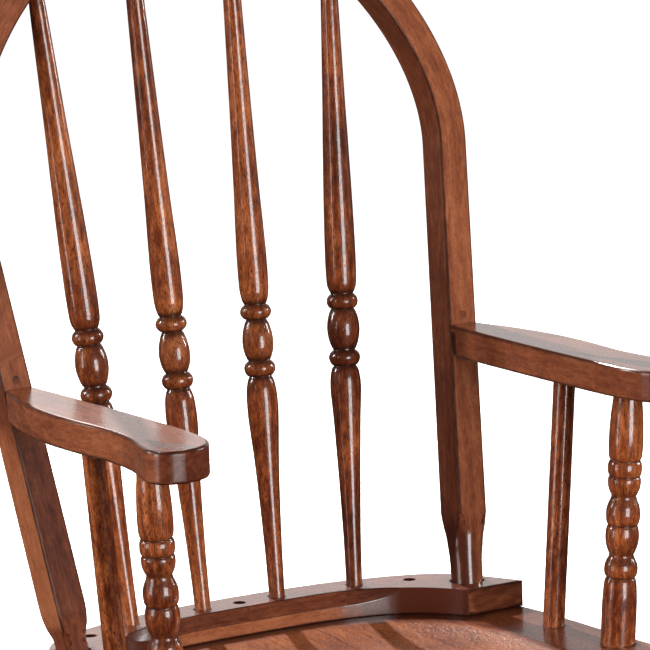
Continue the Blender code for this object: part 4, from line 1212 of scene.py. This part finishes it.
def make_floor():
    bm = bmesh.new()
    half, cells = 24.0, 24
    bmesh.ops.create_grid(bm, x_segments=cells, y_segments=cells, size=half)
    floor = plain_object("floor", bm)
    if floor.data.polygons[0].normal.z < 0:
        floor.data.flip_normals()
    material = bpy.data.materials.new("pale_floor")
    n = Nodes(material)
    place = n.add("ShaderNodeNewGeometry").outputs["Position"]
    speckle = n.noise(n.scaled(place, (3.0, 3.0, 3.0)), 3.0)
    n.feed(n.shader.inputs["Base Color"], n.ramp(speckle, ((0.3, (0.86, 0.855, 0.85)), (0.7, (0.885, 0.88, 0.875)))))
    n.shader.inputs["Roughness"].default_value = 0.75
    n.shader.inputs["Specular IOR Level"].default_value = 0.2
    n.shader.inputs["Emission Color"].default_value = (1.0, 1.0, 1.0, 1.0)
    distance = n.add("ShaderNodeVectorMath", operation="LENGTH")
    n.feed(distance.inputs[0], place)
    n.feed(n.shader.inputs["Emission Strength"], n.ranged(distance.outputs["Value"], 0.5, 1.1, 0.10, 0.95))
    floor.data.materials.append(material)
    floor.visible_glossy = False
    floor.visible_diffuse = False


def make_world():
    world = bpy.data.worlds.new("studio")
    scene.world = world
    world.use_nodes = True
    tree = world.node_tree
    background = tree.nodes["Background"]
    coordinate = tree.nodes.new("ShaderNodeTexCoord")

    def dot(direction):
        node = tree.nodes.new("ShaderNodeVectorMath")
        node.operation = "DOT_PRODUCT"
        tree.links.new(coordinate.outputs["Generated"], node.inputs[0])
        node.inputs[1].default_value = direction
        return node.outputs["Value"]

    def ranged(value, a, b, low, high):
        node = tree.nodes.new("ShaderNodeMapRange")
        node.interpolation_type = "SMOOTHSTEP"
        tree.links.new(value, node.inputs["Value"])
        for key, number in (("From Min", a), ("From Max", b), ("To Min", low), ("To Max", high)):
            node.inputs[key].default_value = number
        return node.outputs[0]

    def combine(operation, a, b):
        node = tree.nodes.new("ShaderNodeMath")
        node.operation = operation
        for socket, value in zip(node.inputs, (a, b)):
            if isinstance(value, bpy.types.NodeSocket):
                tree.links.new(value, socket)
            else:
                socket.default_value = value
        return node.outputs[0]

    behind = ranged(dot(tuple(-TOWARDS)), 0.78, 0.93, 0.0, 1.0)
    height = dot((0.0, 0.0, 1.0))
    wall = combine("MULTIPLY", ranged(height, -0.04, 0.04, 0.0, 1.0), ranged(height, 0.27, 0.42, 1.0, 0.0))
    level = combine("MULTIPLY", combine("MULTIPLY", behind, wall), WALL_LEVEL)
    ambient = ranged(height, -0.30, 0.35, FILL_LEVEL * 0.6, FILL_LEVEL)
    level = combine("ADD", level, ambient)
    path = tree.nodes.new("ShaderNodeLightPath")
    mix = tree.nodes.new("ShaderNodeMix")
    mix.data_type = "FLOAT"
    tree.links.new(path.outputs["Is Camera Ray"], mix.inputs[0])
    tree.links.new(level, mix.inputs[2])
    mix.inputs[3].default_value = 0.93
    tree.links.new(mix.outputs[0], background.inputs["Strength"])
    background.inputs["Color"].default_value = (1.0, 0.965, 0.955, 1.0)


def softbox(name, turn, rise, distance, width, height, power, colour=(1.0, 1.0, 1.0), aim=TARGET, gloss=True):
    """turn is the angle to the right of the camera, rise the height above the horizon, in degrees."""
    t, e = math.radians(turn), math.radians(rise)
    level = TOWARDS * math.cos(t) + VIEW_RIGHT * math.sin(t)
    direction = level * math.cos(e) + Vector((0, 0, math.sin(e)))
    data = bpy.data.lights.new(name, "AREA")
    data.shape = "RECTANGLE"
    data.size, data.size_y = width, height
    data.energy = power
    data.color = colour
    lamp = bpy.data.objects.new(name, data)
    lamp.visible_glossy = gloss
    scene.collection.objects.link(lamp)
    lamp.matrix_world = Matrix.Translation(aim + direction * distance) @ direction.to_track_quat("Z", "Y").to_matrix().to_4x4()


WALL_LEVEL, FILL_LEVEL = 0.74, 0.045

make_floor()
make_world()
softbox("key", 33, 6, 2.4, 1.0, 1.2, 40)
softbox("side", -62, 6, 2.2, 0.75, 1.2, 15)
softbox("rear", -160.4, 36, 2.3, 0.055, 0.055, 82, (1.0, 0.965, 0.93))
softbox("rim_right", 113, 17, 2.2, 0.13, 0.60, 13)
softbox("rim_left", -101, 19, 2.2, 0.13, 0.60, 13)
softbox("fill", 36, 30, 3.0, 2.4, 2.0, 50, gloss=False)
softbox("fill_left", -78, 22, 3.0, 2.0, 2.0, 73, gloss=False)

camera_data = bpy.data.cameras.new("camera")
camera_data.lens = 290.163
camera_data.sensor_width = 36.0
camera_data.sensor_fit = "HORIZONTAL"
camera_data.clip_start, camera_data.clip_end = 0.1, 200.0
camera = bpy.data.objects.new("camera", camera_data)
scene.collection.objects.link(camera)
eye = Vector((-1.7545384, -2.7407393, 1.3163032))
camera.matrix_world = Matrix((
    (VIEW_RIGHT.x, VIEW_UP.x, VIEW_BACK.x, eye.x),
    (VIEW_RIGHT.y, VIEW_UP.y, VIEW_BACK.y, eye.y),
    (VIEW_RIGHT.z, VIEW_UP.z, VIEW_BACK.z, eye.z),
    (0, 0, 0, 1),
))
scene.camera = camera

scene.view_settings.view_transform = "Standard"
scene.view_settings.look = "None"
scene.view_settings.exposure = 0.0
scene.view_settings.gamma = 1.0
